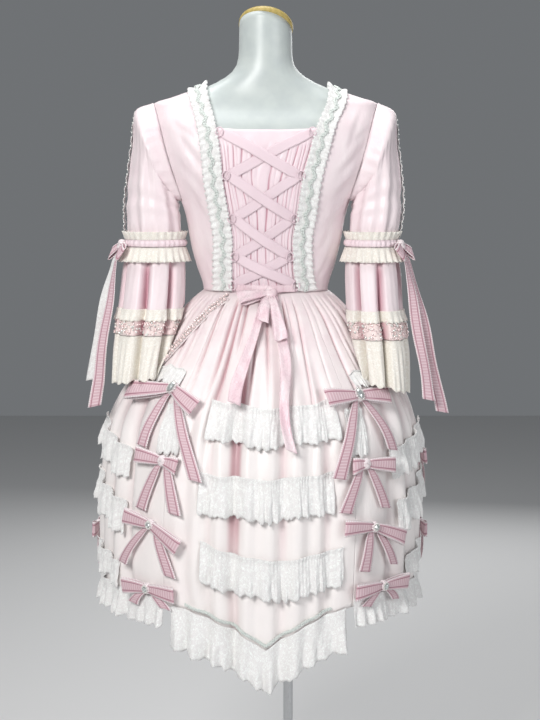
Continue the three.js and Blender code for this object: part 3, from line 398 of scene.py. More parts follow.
def ladderMaterial(name):
    # v runs across the ribbon from 0 to 1, u along it in metres: lines, rungs between them, pale picot edges
    material, tree, shader = shaderOf(name)
    along, across, _ = addNode(tree, "ShaderNodeSeparateXYZ", {0: source(tree, "UV")}).outputs
    fromMiddle = calc(tree, "ABSOLUTE", calc(tree, "SUBTRACT", across, 0.5))

    def wave(every):  # sine along the ribbon
        return calc(tree, "SINE", calc(tree, "MULTIPLY", along, fullTurn / every))

    fromLine = calc(tree, "ABSOLUTE", calc(tree, "SUBTRACT", fromMiddle, ladder["lineAt"]))
    lines = ramp(tree, fromLine, 0.02, 0.042, 1.0, 0.0)
    inside = ramp(tree, fromMiddle, 0.22, 0.26, 1.0, 0.0)
    rungs = calc(tree, "MULTIPLY", ramp(tree, wave(ladder["rungEvery"]), -0.1, 0.35), inside)
    edge = ramp(tree, fromMiddle, 0.39, 0.43)
    picot = calc(tree, "MULTIPLY", edge, ramp(tree, wave(ladder["picotEvery"]), -0.5, 0.3, 0.35, 1.0))
    colour = blendColours(tree, rungs, (0.66, 0.44, 0.49), (0.76, 0.58, 0.62))
    colour = blendColours(tree, lines, colour, (0.40, 0.18, 0.23))
    colour = blendColours(tree, picot, colour, (0.92, 0.88, 0.88))
    addBump(tree, shader, calc(tree, "ADD", calc(tree, "ADD", rungs, lines), picot), 0.0005, 0.7)
    setSockets(tree, shader, {"Base Color": colour, "Roughness": 0.6, "Sheen Weight": 0.2})
    return material


def braidMaterial(name, light, deep, metallic=0.0):
    # twisted threads from a slanting wave
    material, tree, shader = shaderOf(name)
    place = coordinate(tree, "UV", (1, 1, 1), (0, 0, 0.7))
    wave = addNode(tree, "ShaderNodeTexWave", {"Vector": place, "Scale": 320.0}).outputs[1]
    addBump(tree, shader, wave, 0.0003, 0.7)
    setSockets(tree, shader, {"Base Color": blendColours(tree, wave, deep, light), "Roughness": 0.42,
                              "Metallic": metallic})
    return material


def gemMaterial(name, colour, metallic, roughness):
    # a slow noise lightens and darkens the colour from bead to bead
    material, tree, shader = shaderOf(name)
    share = ramp(tree, addNoise(tree, "Object", (140, 140, 140)), 0.35, 0.65)
    dark = tuple(c * 0.72 for c in colour)
    setSockets(tree, shader, {"Base Color": blendColours(tree, share, dark, colour), "Metallic": metallic,
                              "Roughness": roughness, "Coat Weight": 0.5})
    return material


def formMaterial(name, light, deep):
    # smooth satin cover: slow colour change, very fine weave
    material, tree, shader = shaderOf(name)
    share = ramp(tree, addNoise(tree, "Object", (7, 7, 7), Detail=2.0), 0.35, 0.65)
    addBump(tree, shader, addNoise(tree, "Object", (1200, 1200, 500)), 0.00012, 0.3)
    setSockets(tree, shader, {"Base Color": blendColours(tree, share, deep, light), "Roughness": 0.34,
                              "Sheen Weight": 0.2})
    return material


def woodMaterial(name, light, deep):
    # rings of grain from a distorted wave
    material, tree, shader = shaderOf(name)
    place = coordinate(tree, "Object", (14, 60, 14))
    inputs = {"Vector": place, "Scale": 2.0, "Distortion": 5.0, "Detail": 3.0}
    wave = addNode(tree, "ShaderNodeTexWave", inputs).outputs[1]
    addBump(tree, shader, wave, 0.0002, 0.4)
    setSockets(tree, shader, {"Base Color": blendColours(tree, wave, deep, light), "Roughness": 0.42})
    return material


def steelMaterial(name, light, deep):
    # brushed along the pole: fine noise stretched upwards in roughness and bump
    material, tree, shader = shaderOf(name)
    noise = addNoise(tree, "Object", (700, 700, 25), Detail=3.0)
    addBump(tree, shader, noise, 0.00006, 0.5)
    setSockets(tree, shader, {"Base Color": blendColours(tree, noise, deep, light), "Metallic": 1.0,
                              "Roughness": ramp(tree, noise, 0.3, 0.7, 0.25, 0.42)})
    return material


look = {
    "bodice": satinMaterial("bodiceSatin", (0.90, 0.79, 0.81), (0.87, 0.74, 0.77), roughness=0.42,
                            crease=0.0009),
    # the skirt satin carries painted shade in its folds and painted light that whitens it low down
    "skirt": satinMaterial("skirtSatin", (0.91, 0.82, 0.82), (0.86, 0.73, 0.75), roughness=0.42,
                           crease=0.0010, scale=20.0, foldShadeColour=(0.60, 0.37, 0.40), paintedLightBelow=(0.94, 0.90, 0.88)),
    "shirring": satinMaterial("shirredSatin", (0.89, 0.75, 0.79), (0.86, 0.70, 0.75), roughness=0.42,
                              crease=0.0006, scale=40.0, foldShadeColour=(0.52, 0.22, 0.29)),
    "lace": laceMaterial("whiteLace", (0.96, 0.99, 0.965), (0.76, 0.735, 0.73)),
    "cream": laceMaterial("creamLace", (0.98, 0.97, 0.92), (0.79, 0.74, 0.66), motif=90.0, net=400.0),
    "ladder": ladderMaterial("ladderRibbon"),
    "lacing": braidMaterial("lacingRibbon", (0.90, 0.74, 0.79), (0.85, 0.67, 0.73)),
    "bow": satinMaterial("bowSatin", (0.90, 0.75, 0.78), (0.80, 0.57, 0.63), roughness=0.27, crease=0.0022,
                         scale=55.0, foldShadeColour=(0.58, 0.28, 0.36)),
    "band": satinMaterial("bandSatin", (0.90, 0.78, 0.75), (0.86, 0.70, 0.68), roughness=0.45, crease=0.0006,
                          scale=60.0),
    "braid": braidMaterial("silverBraid", (0.88, 0.92, 0.89), (0.68, 0.74, 0.70), metallic=0.1),
    "pearl": gemMaterial("pinkBeads", (0.93, 0.74, 0.73), metallic=0.1, roughness=0.2),
    "white": gemMaterial("whiteBeads", (0.86, 0.86, 0.82), metallic=0.1, roughness=0.25),
    "jewel": gemMaterial("jewels", (0.74, 0.78, 0.77), metallic=0.6, roughness=0.14),
    "form": formMaterial("formSatin", (0.58, 0.63, 0.61), (0.53, 0.58, 0.57)),
    "wood": woodMaterial("capWood", (0.54, 0.41, 0.14), (0.46, 0.36, 0.11)),
    "steel": steelMaterial("standSteel", (0.68, 0.69, 0.70), (0.52, 0.53, 0.54)),
}
cloths = {  # slot, material, thickness in millimetres, how it is held
    "bodice": ("bodice_satin", look["bodice"], 1.1, "stretched"),
    "sleeve": ("bodice_satin", look["bodice"], 1.1, "gathered"),
    "flounce": ("skirt_satin", look["bodice"], 1.1, "gathered"),
    "skirt": ("skirt_satin", look["skirt"], 1.2, "gathered"),
    "shirring": ("bodice_satin", look["shirring"], 0.8, "gathered"),
    "lace": ("lace", look["lace"], 0.7, "gathered"),
    "laceTail": ("lace", look["lace"], 0.6, "hung"),
    "cuff": ("cream_lace", look["cream"], 0.8, "gathered"),
    "frill": ("cream_lace", look["cream"], 0.7, "gathered"),
    "elbowRibbon": ("cream_lace", look["shirring"], 0.7, "gathered"),
    "beadBand": ("bead_band", look["band"], 1.0, "gathered"),
    "beadRibbon": ("bead_band", look["skirt"], 0.7, "stretched"),
    "lacing": ("lacing_ribbon", look["lacing"], 0.5, "stretched"),
    "ladder": ("ladder_ribbon", look["ladder"], 0.6, "folded"),
    "bow": ("satin_ribbon", look["bow"], 0.7, "folded"),
}
print("materials ready")


# the body that carries the dress, by height
waistZ, underarmZ, shoulderZ = 1050.0, 1212.0, 1388.0
bodyRows = table(
    "z side back front square",
    (690, 96, 70, 72, 2.1), (710, 128, 96, 98, 2.1), (760, 152, 116, 112, 2.1), (850, 164, 122, 116, 2.1),
    (1015, 121, 91, 94, 2.1), (1050, 114, 88, 90, 2.1), (1096, 127, 92, 102, 2.1), (1141, 138, 98, 121, 2.2),
    (1185, 146, 105, 129, 2.3), (1212, 154, 108, 124, 2.5), (1250, 170, 110, 113, 2.8),
    (1300, 187, 107, 98, 3.0), (1342, 197, 96, 82, 3.0), (1388, 204, 64, 52, 2.5), (1400, 168, 60, 50, 2.3),
    (1414, 131, 58, 50, 2.1), (1440, 76, 57, 52, 2.0), (1458, 58, 55, 52, 2.0), (1478, 54, 54, 51, 2.0),
    (1524, 53, 53, 51, 2.0),
)
openingRows = table(
    "z left right",
    (1050, 76, 74), (1096, 76, 66), (1141, 75, 65), (1185, 81, 72), (1250, 92, 82), (1300, 97, 95),
    (1342, 104, 107), (1388, 117, 127), (1412, 126, 131),
)
frontRows = table(
    "z left right",
    (1050, 58, 58), (1185, 80, 80), (1300, 104, 104), (1342, 111, 111), (1388, 121, 126), (1412, 126, 131),
)


def bodyPoint(angle, z):  # superellipse across, sections by height
    a, z = np.broadcast_arrays(np.radians(angle), np.asarray(z, dtype=float))
    power = 2 / curve(bodyRows, "square", z)
    depth = np.where(np.cos(a) >= 0, curve(bodyRows, "back", z), curve(bodyRows, "front", z))
    x = np.sign(np.sin(a)) * np.abs(np.sin(a)) ** power * curve(bodyRows, "side", z)
    y = np.sign(np.cos(a)) * np.abs(np.cos(a)) ** power * depth
    return stack(x, y, z)


def bodyAngle(x, z, front=False):  # angle at which the section has a given distance from the middle
    share = np.clip(np.abs(x) / curve(bodyRows, "side", z), 0, 1) ** (curve(bodyRows, "square", z) / 2)
    angle = np.degrees(np.arcsin(share))
    return np.sign(x) * (180 - angle if front else angle)


form = {"top": 1524.0, "bottom": 690.0, "below": 5.4, "rows": 90, "columns": 72, "sideSlant": 0.14,
        "backSlant": 0.54}
cap = {"columns": 96, "profile": [  # radius and height
    (0.5, 13.9), (20, 13.9), (38, 13.4), (44.5, 12.6), (47, 11.2), (48.2, 9.9), (47.7, 9.3), (47.7, 8.9),
    (48.9, 8.4), (49.4, 7), (49.4, 2), (48.9, 0.8), (0.5, 0.5),
]}


def makeForm():  # the cloth's body moved in, its neck cut on a slant
    down, _ = lattice(form["rows"], form["columns"])
    z = mix(form["top"], form["bottom"], down)
    angle = np.arange(form["columns"]) / form["columns"] * 360 + 0 * z
    grid = lifted(bodyPoint, angle, z, np.full(z.shape, -form["below"]))
    slant = grid[..., 0] * form["sideSlant"] + grid[..., 1] * form["backSlant"]
    grid[..., 2] += slant * smooth(grid[..., 2], 1440, form["top"])
    middle = grid[:1].mean(1, keepdims=True)
    top, bottom = middle + (grid[:1] - middle) * 0.02, grid[-1:] * [0.02, 0.02, 1]
    makePiece("formBody", [patch(np.concatenate([top, grid, bottom]), wrap=True)], look["form"],
              ["form_torso"])


def turned(a, b, angle):  # two coordinates turned about the third
    return a * math.cos(angle) - b * math.sin(angle), a * math.sin(angle) + b * math.cos(angle)


def makeCap():  # lathe with a rim band, tipped like the neck's top
    turn = np.arange(cap["columns"]) / cap["columns"] * fullTurn
    wide = math.hypot(1, form["backSlant"])
    radius, height = np.array(cap["profile"])[..., None].transpose(1, 0, 2)
    grid = stack(radius * np.sin(turn), radius * np.cos(turn) * wide, height)
    grid[..., 1], grid[..., 2] = turned(grid[..., 1], grid[..., 2], math.atan(form["backSlant"]))
    grid[..., 2], grid[..., 0] = turned(grid[..., 2], grid[..., 0], -math.atan(form["sideSlant"]))
    grid[..., 2] += form["top"]
    makePiece("capDisc", [patch(grid, wrap=True)], look["wood"], ["form_neck_cap"])


makeForm()
makeCap()
for name in ("stand_pole", "stand_foot"):
    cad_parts[name].data.materials.clear()
    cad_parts[name].data.materials.append(look["steel"])
print("form ready")


def sideName(side):  # 1 is the left, -1 the right
    return "left" if side > 0 else "right"


# bodice
bodice = {
    "top": 1408.0, "frontTop": 1300.0, "gap": 0.3, "underLace": 10.0, "armholeDepth": 9.0,
    # creases: start and end as distance from the middle and height, half width, depth
    "creases": [
        (176, 1330, 120, 1262, 7, 2.2), (182, 1290, 112, 1215, 8, 2.6), (178, 1262, 98, 1160, 9, 2.4),
        (150, 1225, 90, 1120, 8, 2.0), (138, 1190, 96, 1085, 7, 1.8), (130, 1140, 88, 1066, 7, 1.6),
        (188, 1352, 140, 1318, 6, 1.6), (125, 1110, 100, 1060, 6, 1.5), (150, 1372, 128, 1300, 6, 1.2),
    ],
}


def creaseDepth(x, z, rows):  # sum of troughs along straight lines, each fading at its ends
    depth = 0 * x
    for x0, z0, x1, z1, half, deep in rows:
        dx, dz = x1 - x0, z1 - z0
        size = dx * dx + dz * dz
        t = ((x - x0) * dx + (z - z0) * dz) / size
        off = ((x - x0) * dz - (z - z0) * dx) / math.sqrt(size)
        trough = bell(off / half) - 0.6 * bell((off - 1.6 * half) / half)
        depth = depth + deep * trough * smooth(t, -0.15, 0.25) * (1 - smooth(t, 0.75, 1.15))
    return depth


def bodicePanel(side, front):  # from the lace to the armhole, creased inwards
    rows, name = frontRows if front else openingRows, sideName(side)
    down, out = lattice(72, 40)
    z = mix(bodice["top"], waistZ, down)
    start = curve(rows, name, z) + (bodice["gap"] if front else -bodice["underLace"])
    inner = np.abs(bodyAngle(start, z, front))
    middle, reach = (underarmZ + shoulderZ) / 2, (shoulderZ - underarmZ) / 2
    scoop = np.sqrt(np.clip(1 - ((z - middle) / reach) ** 2, 0, 1))
    hole = curve(bodyRows, "side", z) - bodice["armholeDepth"] * scoop - 0.2 * smooth(scoop, 0, 0.3)
    outer = np.where(scoop > 0, np.abs(bodyAngle(hole, z, front)), 90.12 if front else 89.88)
    angle = side * mix(inner, outer, out)
    grid = bodyPoint(angle, z)
    edge = smooth(out, 0, 0.12) * (1 - smooth(out, 0.9, 1))
    edge = edge * smooth(down, 0, 0.08) * (1 - smooth(down, 0.94, 1))
    creases = bodice["creases"]
    if front:
        creases = [(x0 * 0.9, z0 - 14, x1, z1, half, deep * 0.8) for x0, z0, x1, z1, half, deep in creases]
    depth = creaseDepth(np.abs(grid[..., 0]) + 0.06 * side * z - 60 * side, z, creases) * edge
    depth = depth + 0.7 * edge * np.sin(np.abs(grid[..., 0]) * 0.11 + z * 0.035 + side)
    grid = grid - normalOf(bodyPoint, angle, z) * np.clip(depth, -1.2, 3.2)[..., None]
    word = ("front_" if front else "back_") + name
    makeCloth("bodice_" + word + "_cloth", [patch(grid, flip=(side < 0) != front)], "bodice",
              ["bodice_" + word])


def frontMiddle():  # soft shallow dents that end before the seams
    down, out = lattice(64, 60)
    z = mix(bodice["frontTop"], waistZ, down)
    reach = 180 - np.abs(bodyAngle(curve(frontRows, "left", z) - bodice["gap"], z, True))
    angle = 180 + mix(-reach, reach, out)
    dent = 1.0 * np.sin(out * 21 + down * 5) * bell((down - 0.8) / 0.3) + 0.8 * np.sin(out * 9 - down * 7)
    edge = smooth(out, 0, 0.1) * (1 - smooth(out, 0.9, 1)) * smooth(down, 0, 0.05)
    grid = lifted(bodyPoint, angle, z, -np.clip(dent + 0.6, 0, 3) * edge)
    makeCloth("bodice_front_middle_cloth", [patch(grid)], "bodice", ["bodice_front_middle"])


shirring = {"gathers": 17, "deep": 2.6, "inset": 15.5, "casingTop": 1342.0, "stitches": (20, 3), "sag": 3.0}


def shirredPanel():  # plain casing, then upright gathers whose depth varies from one to the next
    down, out = lattice(64, 171)
    z = mix(shirring["casingTop"], waistZ, down)
    left = bodyAngle(curve(openingRows, "left", z) - shirring["inset"], z)
    right = bodyAngle(-curve(openingRows, "right", z) + shirring["inset"], z)
    angle = mix(right, left, out)
    below = shirring["casingTop"] - z
    swell = smooth(below, 20, 34)
    phase = out * shirring["gathers"] * fullTurn + 0.9 * np.sin(down * 9 + out * 40)
    uneven = 0.7 + 0.3 * np.sin(out * 57.0 + 1.3)
    depth = bell(np.cos(phase / 2) / 0.42) * shirring["deep"] * uneven * swell
    low, high = shirring["stitches"]
    stitch = 0.6 * (bell((below - low) / 1.6) + bell((below - high) / 1.4))
    z = z - shirring["sag"] * np.sin(math.pi * out) * (1 - smooth(below, 0, 60))
    grid = lifted(bodyPoint, angle, z, -0.1 - depth - stitch + 0.5 * np.sin(out * 26) * (1 - swell))
    # painted shade in the troughs of the gathers
    shade = smooth(depth, 0.9, 2.4) * 0.9
    makeCloth("shirred_panel_cloth", [patch(grid, shade=shade)], "shirring", ["shirred_panel"])


for side in (1, -1):
    bodicePanel(side, False)
    bodicePanel(side, True)
frontMiddle()
shirredPanel()
print("bodice ready")


# lace and braid round the opening, and its lacing
def shoulderHeight(x, y):  # halving the range of heights between inside and outside
    low, high = np.full(x.shape, 1300.0), np.full(x.shape, 1500.0)
    for _ in range(24):
        middle = (low + high) / 2
        power = curve(bodyRows, "square", middle)
        depth = np.where(y >= 0, curve(bodyRows, "back", middle), curve(bodyRows, "front", middle))
        inside = (np.abs(x) / curve(bodyRows, "side", middle)) ** power + (np.abs(y) / depth) ** power < 1
        low, high = np.where(inside, middle, low), np.where(inside, high, middle)
    return low


def openingCourse(side, offset):  # points and normals from the front neckline over the shoulder to the waist
    name = sideName(side)

    def runDown(rows, z, front):
        angle = bodyAngle(side * (curve(rows, name, z) + offset), z, front)
        return bodyPoint(angle, z), normalOf(bodyPoint, angle, z)

    def shoulder(x, y):
        return stack(x, y, shoulderHeight(x, y))

    y = np.linspace(-36, 42, 24)
    across = mix(curve(frontRows, name, 1400.0), curve(openingRows, name, 1400.0), (y + 34) / 72)
    x = side * (across + offset)
    crossing = np.cross(shoulder(x + 1, y) - shoulder(x - 1, y), shoulder(x, y + 1) - shoulder(x, y - 1))
    parts = [runDown(frontRows, np.linspace(1303, 1382, 22), True), (shoulder(x, y), unit(crossing)),
             runDown(openingRows, np.linspace(1386, 1051, 92), False)]
    return [np.concatenate(values) for values in zip(*parts)]


def lengthsAlong(path):  # summed steps from the first point
    return np.concatenate([[0], np.cumsum(np.linalg.norm(np.diff(path, axis=0), axis=-1))])


def resample(path, normals, count):  # even steps along a path
    s = lengthsAlong(path)
    at = np.linspace(0, s[-1], count)
    return [np.stack([np.interp(at, s, p[:, k]) for k in range(3)], -1) for p in (path, normals)] + [at]


opening = {"half": 17.0, "columns": 15, "rows": 380, "pleat": 12.0, "scallop": 6.5}
openingCords = {"rows": 360, "wave": 3.0, "waveEvery": 28.0, "swing": 3.4, "swingEvery": 11.0, "cord": 1.15,
                "core": 0.8, "coreLift": 3.0}


def openingLace(side):  # pleated strip, higher and scalloped towards both edges
    name = sideName(side)
    columns = np.linspace(-1, 1, opening["columns"])
    lines = [resample(*openingCourse(side, c * opening["half"]), opening["rows"]) for c in columns]
    grid, up = np.stack([p for p, _, _ in lines], 1), unit(np.stack([n for _, n, _ in lines], 1))
    s = lines[-1][2][:, None]
    off = np.abs(columns)[None, :]
    pleats = np.sin(s / opening["pleat"] * fullTurn + 0.8 * np.sin(s / 41)) * smooth(off, 0.15, 0.9)
    lift = 1.4 + 3.2 * smooth(off, 0.2, 0.95) + 2.0 * pleats
    scallop = 1.3 * np.sin(s / opening["scallop"] * fullTurn) * smooth(off, 0.8, 1)
    sideways = unit(grid[:, -1:] - grid[:, :1]) * (np.sign(columns)[None, :] * scallop)[..., None]
    grid = grid + up * lift[..., None] + sideways
    makeCloth("lace_opening_" + name + "_cloth", [patch(grid, flip=side < 0)], "lace",
              ["lace_opening_" + name])


def crossedCords(name, p, n, across, s, own, replaces=()):
    # two cords that swing across the path and over each other, and a straight core under them
    tubes = []
    for phase in (0, math.pi):
        swing = np.sin(s / own["swingEvery"] * fullTurn + phase) * own["swing"]
        lift = 3.6 + 0.7 * np.cos(s / own["swingEvery"] * 2 * fullTurn + phase)
        path = p + n * lift[:, None] + across * swing[:, None]
        tubes.append(patch(tubeGrid(path, n, own["cord"]), wrap=True))
    tubes.append(patch(tubeGrid(p + n * own["coreLift"], n, own["core"]), wrap=True))
    makePiece(name, tubes, look["braid"], replaces)


def acrossPath(p, n):  # square to the path and to its normal
    return unit(np.cross(n, unit(np.gradient(p, axis=0))))


def openingBraid(side):  # the whole braid waves from side to side
    p, n, s = resample(*openingCourse(side, 0), openingCords["rows"])
    across = acrossPath(p, n)
    p = p + across * (openingCords["wave"] * np.sin(s / openingCords["waveEvery"] * fullTurn))[:, None]
    crossedCords("opening_braid_" + sideName(side), p, n, across, s, openingCords)


lacing = {
    "width": 19.0, "narrowing": 0.22, "liftOver": 4.4, "liftUnder": 1.5,
    # height and distances of the left and right loops from the middle
    "stops": [(1334, 80, 82), (1258, 68, 62), (1182, 58, 50), (1114, 53, 42), (1062, 56, 52)],
    "loopWide": 6.5, "loopTall": 8.0, "loopCord": 1.1,
}


def ribbonGrid(path, up, width, count=7, crown=0.3, twist=0.0):  # strip across a path, edges a little lower
    along = unit(np.gradient(path, axis=0))
    side = unit(np.cross(up, along))
    v = np.linspace(-1, 1, count)
    half = (np.asarray(width) / 2 * np.ones(len(path)))[:, None, None]
    lift = -crown * (v * v)[None, :] + (twist * np.ones(len(path)))[:, None] * v[None, :]
    return path[:, None] + side[:, None] * v[None, :, None] * half + up[:, None] * lift[..., None]


def lacingRibbon(word, startsLeft):  # one strip from each stop to the next, on the other edge
    stops = lacing["stops"]
    t = np.linspace(0, 1, 44)
    patches = []
    for i, ((z0, left0, right0), (z1, left1, right1)) in enumerate(zip(stops, stops[1:])):
        fromLeft = (i % 2 == 0) == startsLeft
        start, end = (left0, -right1) if fromLeft else (-right0, left1)
        z = mix(z0, z1, t) + 1.4 * np.sin(t * 5 + i)
        angle = bodyAngle(mix(start, end, t), z)
        over = lacing["liftOver"] if fromLeft else lacing["liftUnder"]
        lift = mix(2.0, over, np.sin(math.pi * t)) + 0.25 * np.sin(t * 17 + i * 2)
        width = lacing["width"] * (1 - lacing["narrowing"] * (1 - smooth(t, 0, 0.12) + smooth(t, 0.88, 1)))
        path, up = lifted(bodyPoint, angle, z, lift), normalOf(bodyPoint, angle, z)
        patches.append(patch(ribbonGrid(path, up, width, twist=0.4 * np.sin(t * 9 + i))))
    makeCloth("lacing_" + word + "_cloth", faceOut(patches, [0, 1, 0]), "lacing",
              ["lacing_ribbon_" + word])


def lacingLoops():  # small cord loops on the two edges, where the ribbon passes
    tubes = []
    turn = np.linspace(0, 1, 28) * fullTurn
    for z0, left, right in lacing["stops"]:
        for side, edge in ((1, left), (-1, right)):
            x = side * (edge + 1 + lacing["loopWide"] * np.cos(turn))
            z = z0 + lacing["loopTall"] * np.sin(turn)
            angle = bodyAngle(x, z)
            path = lifted(bodyPoint, angle, z, 4.2 + 1.0 * np.cos(turn * 2))
            tubes.append(patch(tubeGrid(path, normalOf(bodyPoint, angle, z), lacing["loopCord"]), wrap=True))
    makePiece("lacing_loops", tubes, look["lacing"])


for side in (1, -1):
    openingLace(side)
    openingBraid(side)
lacingRibbon("a", True)
lacingRibbon("b", False)
lacingLoops()
print("lacing ready")


# skirt
skirtRows = table(
    "z side back front shift",
    (1050, 114, 88, 90, 0), (1036, 132, 104, 104, 0), (1010, 157, 134, 126, 0), (960, 192, 173, 155, 1),
    (910, 228, 208, 185, 2), (860, 266, 238, 212, 4), (800, 288, 262, 234, 7), (740, 293, 276, 246, 9),
    (660, 298, 287, 254, 10), (560, 296, 292, 255, 12), (490, 288, 291, 250, 12), (360, 278, 288, 246, 12),
)
backFolds = [  # angle, depth, half width in degrees
    (26, 6, 2.6), (18, 11, 2.8), (9, 24, 2.6), (1, 6, 2.4), (-8, 14, 2.8), (-17, 7, 2.6), (-24, 12, 2.8),
]
skirt = {
    "column": 39.0, "sideColumn": 97.0, "step": 13.0, "depth": 11.0,
    "sideHem": 516.0, "backHem": 445.0, "dipMiddle": -2.5, "dipReach": 36.0, "dipPower": 1.6,
}


def skirtEnvelope(angle, z):  # half ellipses in front and at the back, sections by height
    a, z = np.broadcast_arrays(np.radians(angle), np.asarray(z, dtype=float))
    depth = np.where(np.cos(a) >= 0, curve(skirtRows, "back", z), curve(skirtRows, "front", z))
    x = curve(skirtRows, "shift", z) + np.sin(a) * curve(skirtRows, "side", z)
    return stack(x, np.cos(a) * depth, z)


def levelInward(angle):  # unit vectors towards the middle, level
    a = np.radians(angle)
    return stack(-np.sin(a), -np.cos(a), 0 * a)


def nearColumns(angle):  # 1 away from the columns of bows, 0 on them
    a = np.abs(wrapped(angle))
    return (1 - bell((a - skirt["column"]) / 6)) * (1 - bell((a - skirt["sideColumn"]) / 6))


def mainFolds(angle, z):  # the back's own folds, then even ones round the sides and the front
    a = wrapped(angle)
    grown = smooth(waistZ - z, 40, 230)
    depth = sum(deep * bell((a - middle) / spread) for middle, deep, spread in backFolds)
    past = np.maximum(0, np.abs(a) - skirt["column"] - 8)
    depth = depth + skirt["depth"] * (0.5 - 0.5 * np.cos(np.radians(past / skirt["step"] * 360)))
    return depth * grown * nearColumns(angle)


chance = np.random.default_rng(11)


def evenAngles(count, jitter):  # all round, each moved a little
    return np.linspace(-180, 180, count, endpoint=False) + chance.uniform(-jitter, jitter, count)


gathers = {
    "angle": evenAngles(62, 2.0),
    "depth": chance.uniform(4.0, 17.0, 62),
    "spread": chance.uniform(0.5, 1.1, 62),
    "end": chance.uniform(90, 420, 62) * chance.uniform(0.6, 1.2, 62),
    "drift": chance.uniform(-4.0, 4.0, 62),
}
longFolds = {
    "angle": evenAngles(38, 3.4),
    "depth": chance.uniform(-2.5, 6.0, 38),
    "spread": chance.uniform(1.5, 3.6, 38),
    "start": chance.uniform(20, 240, 38),
    "drift": chance.uniform(-4.5, 4.5, 38),
}
dents = {
    "angle": chance.uniform(-180, 180, 120), "z": chance.uniform(470, 960, 120),
    "wide": chance.uniform(1.6, 4.5, 120), "tall": chance.uniform(22, 80, 120),
    "lean": chance.uniform(-0.05, 0.05, 120), "depth": chance.uniform(-1.2, 3.2, 120),
}


def fineFolds(angle, z):  # gathers that start at the waist and die away, and soft dents further down
    down = waistZ - z
    depth = 0 * (angle + z)
    for middle, deep, spread, end, drift in zip(*gathers.values()):
        off = wrapped(angle - middle - drift * down / 300) / spread
        strong = smooth(down, 3, 30) * (1 - smooth(down, end * 0.4, end))
        depth = depth + deep * np.exp(-np.abs(off) ** 1.5) * strong
    keep = 0.25 + 0.75 * nearColumns(angle)
    for middle, deep, spread, start, drift in zip(*longFolds.values()):
        off = wrapped(angle - middle - drift * down / 500) / spread
        depth = depth + deep * bell(off) * smooth(down, start, start + 150) * keep
    for middle, height, wide, tall, lean, deep in zip(*dents.values()):
        off = wrapped(angle - middle) - lean * (z - height)
        depth = depth + deep * bell(off / wide) * bell((z - height) / tall) * keep
    return 15 * np.tanh(depth / 15) * np.where(depth < 0, 0.35, 1)


def skirtPoint(angle, z):  # the outline moved inwards by all folds
    angle, z = np.broadcast_arrays(np.asarray(angle, dtype=float), np.asarray(z, dtype=float))
    depth = mainFolds(angle, z) + fineFolds(angle, z)
    return skirtEnvelope(angle, z) + levelInward(angle) * depth[..., None]


def hemHeight(angle):  # level, with a dip at the back
    away = np.abs(wrapped(angle) - skirt["dipMiddle"]) / skirt["dipReach"]
    dip = np.maximum(0, 1 - away) ** skirt["dipPower"]
    return skirt["sideHem"] - (skirt["sideHem"] - skirt["backHem"]) * dip


panels = {  # angle from and to, columns round and rows down
    "skirt_back": (-34, 34, 190, 76), "skirt_left": (34, 112, 150, 66), "skirt_front": (112, 248, 180, 58),
    "skirt_right": (248, 326, 150, 66),
}


def skirtPanel(name, start, end, columns, rows):  # tucked a little under the waist, with painted shade in the folds
    down, out = lattice(rows, columns)
    angle = mix(start + 0.01, end - 0.01, out)
    z = mix(waistZ + 0.8, hemHeight(angle), down ** 1.15)
    tucked = 1.0 * (1 - smooth(waistZ - z, -0.8, 5))
    grid = skirtPoint(angle, z) + levelInward(angle) * tucked[..., None]
    folds = mainFolds(angle, z)
    # painted shade: deep main folds darkened, less so low down, and gathers near the waist darkened
    shade = 0.9 * smooth(folds, 7, 21) * mix(0.25, 1, smooth(z, 560, 690))
    shade = shade + 0.95 * smooth(folds * 0.8 + fineFolds(angle, z), 3, 13) * smooth(z, 780, 960)
    makeCloth(name + "_cloth", [patch(grid, shade=shade)], "skirt", [name])


for name, row in panels.items():
    skirtPanel(name, *row)
print("skirt ready")


# lace on the skirt: angle from and to, heights of the upper edge at both ends, sag, height, flare, waves
laceBands = {
    "lace_back_1": (-28, 20, 870, 870, 13, 57, 12, 12), "lace_back_2": (-26, 21, 748, 748, 9, 62, 13, 13),
    "lace_back_3": (-29, 20, 620, 630, 24, 60, 14, 13), "swag_left_1": (53, 88, 776, 822, 6, 46, 11, 9),
    "swag_left_2": (54, 88, 682, 725, 4, 50, 11, 9), "swag_left_3": (57, 85, 572, 592, 0, 36, 9, 8),
    "swag_right_1": (-88, -53, 812, 776, 6, 46, 11, 9), "swag_right_2": (-88, -56, 725, 682, 4, 50, 11, 9),
    "swag_right_3": (-85, -63, 592, 572, 0, 36, 9, 7), "lace_fall_left": (29, 38, 860, 860, 0, 77, 5, 3),
    "lace_fall_right": (-39, -31, 851, 851, 0, 73, 5, 3),
}


def laceFace(angle, z):  # the skirt with its folds softened, for what hangs across them
    angle, z = np.broadcast_arrays(np.asarray(angle, dtype=float), np.asarray(z, dtype=float))
    depth = sum(mainFolds(angle + step, z) for step in (-0.8, 0, 0.8)) / 3 * 0.96
    return skirtEnvelope(angle, z) + levelInward(angle) * depth[..., None]


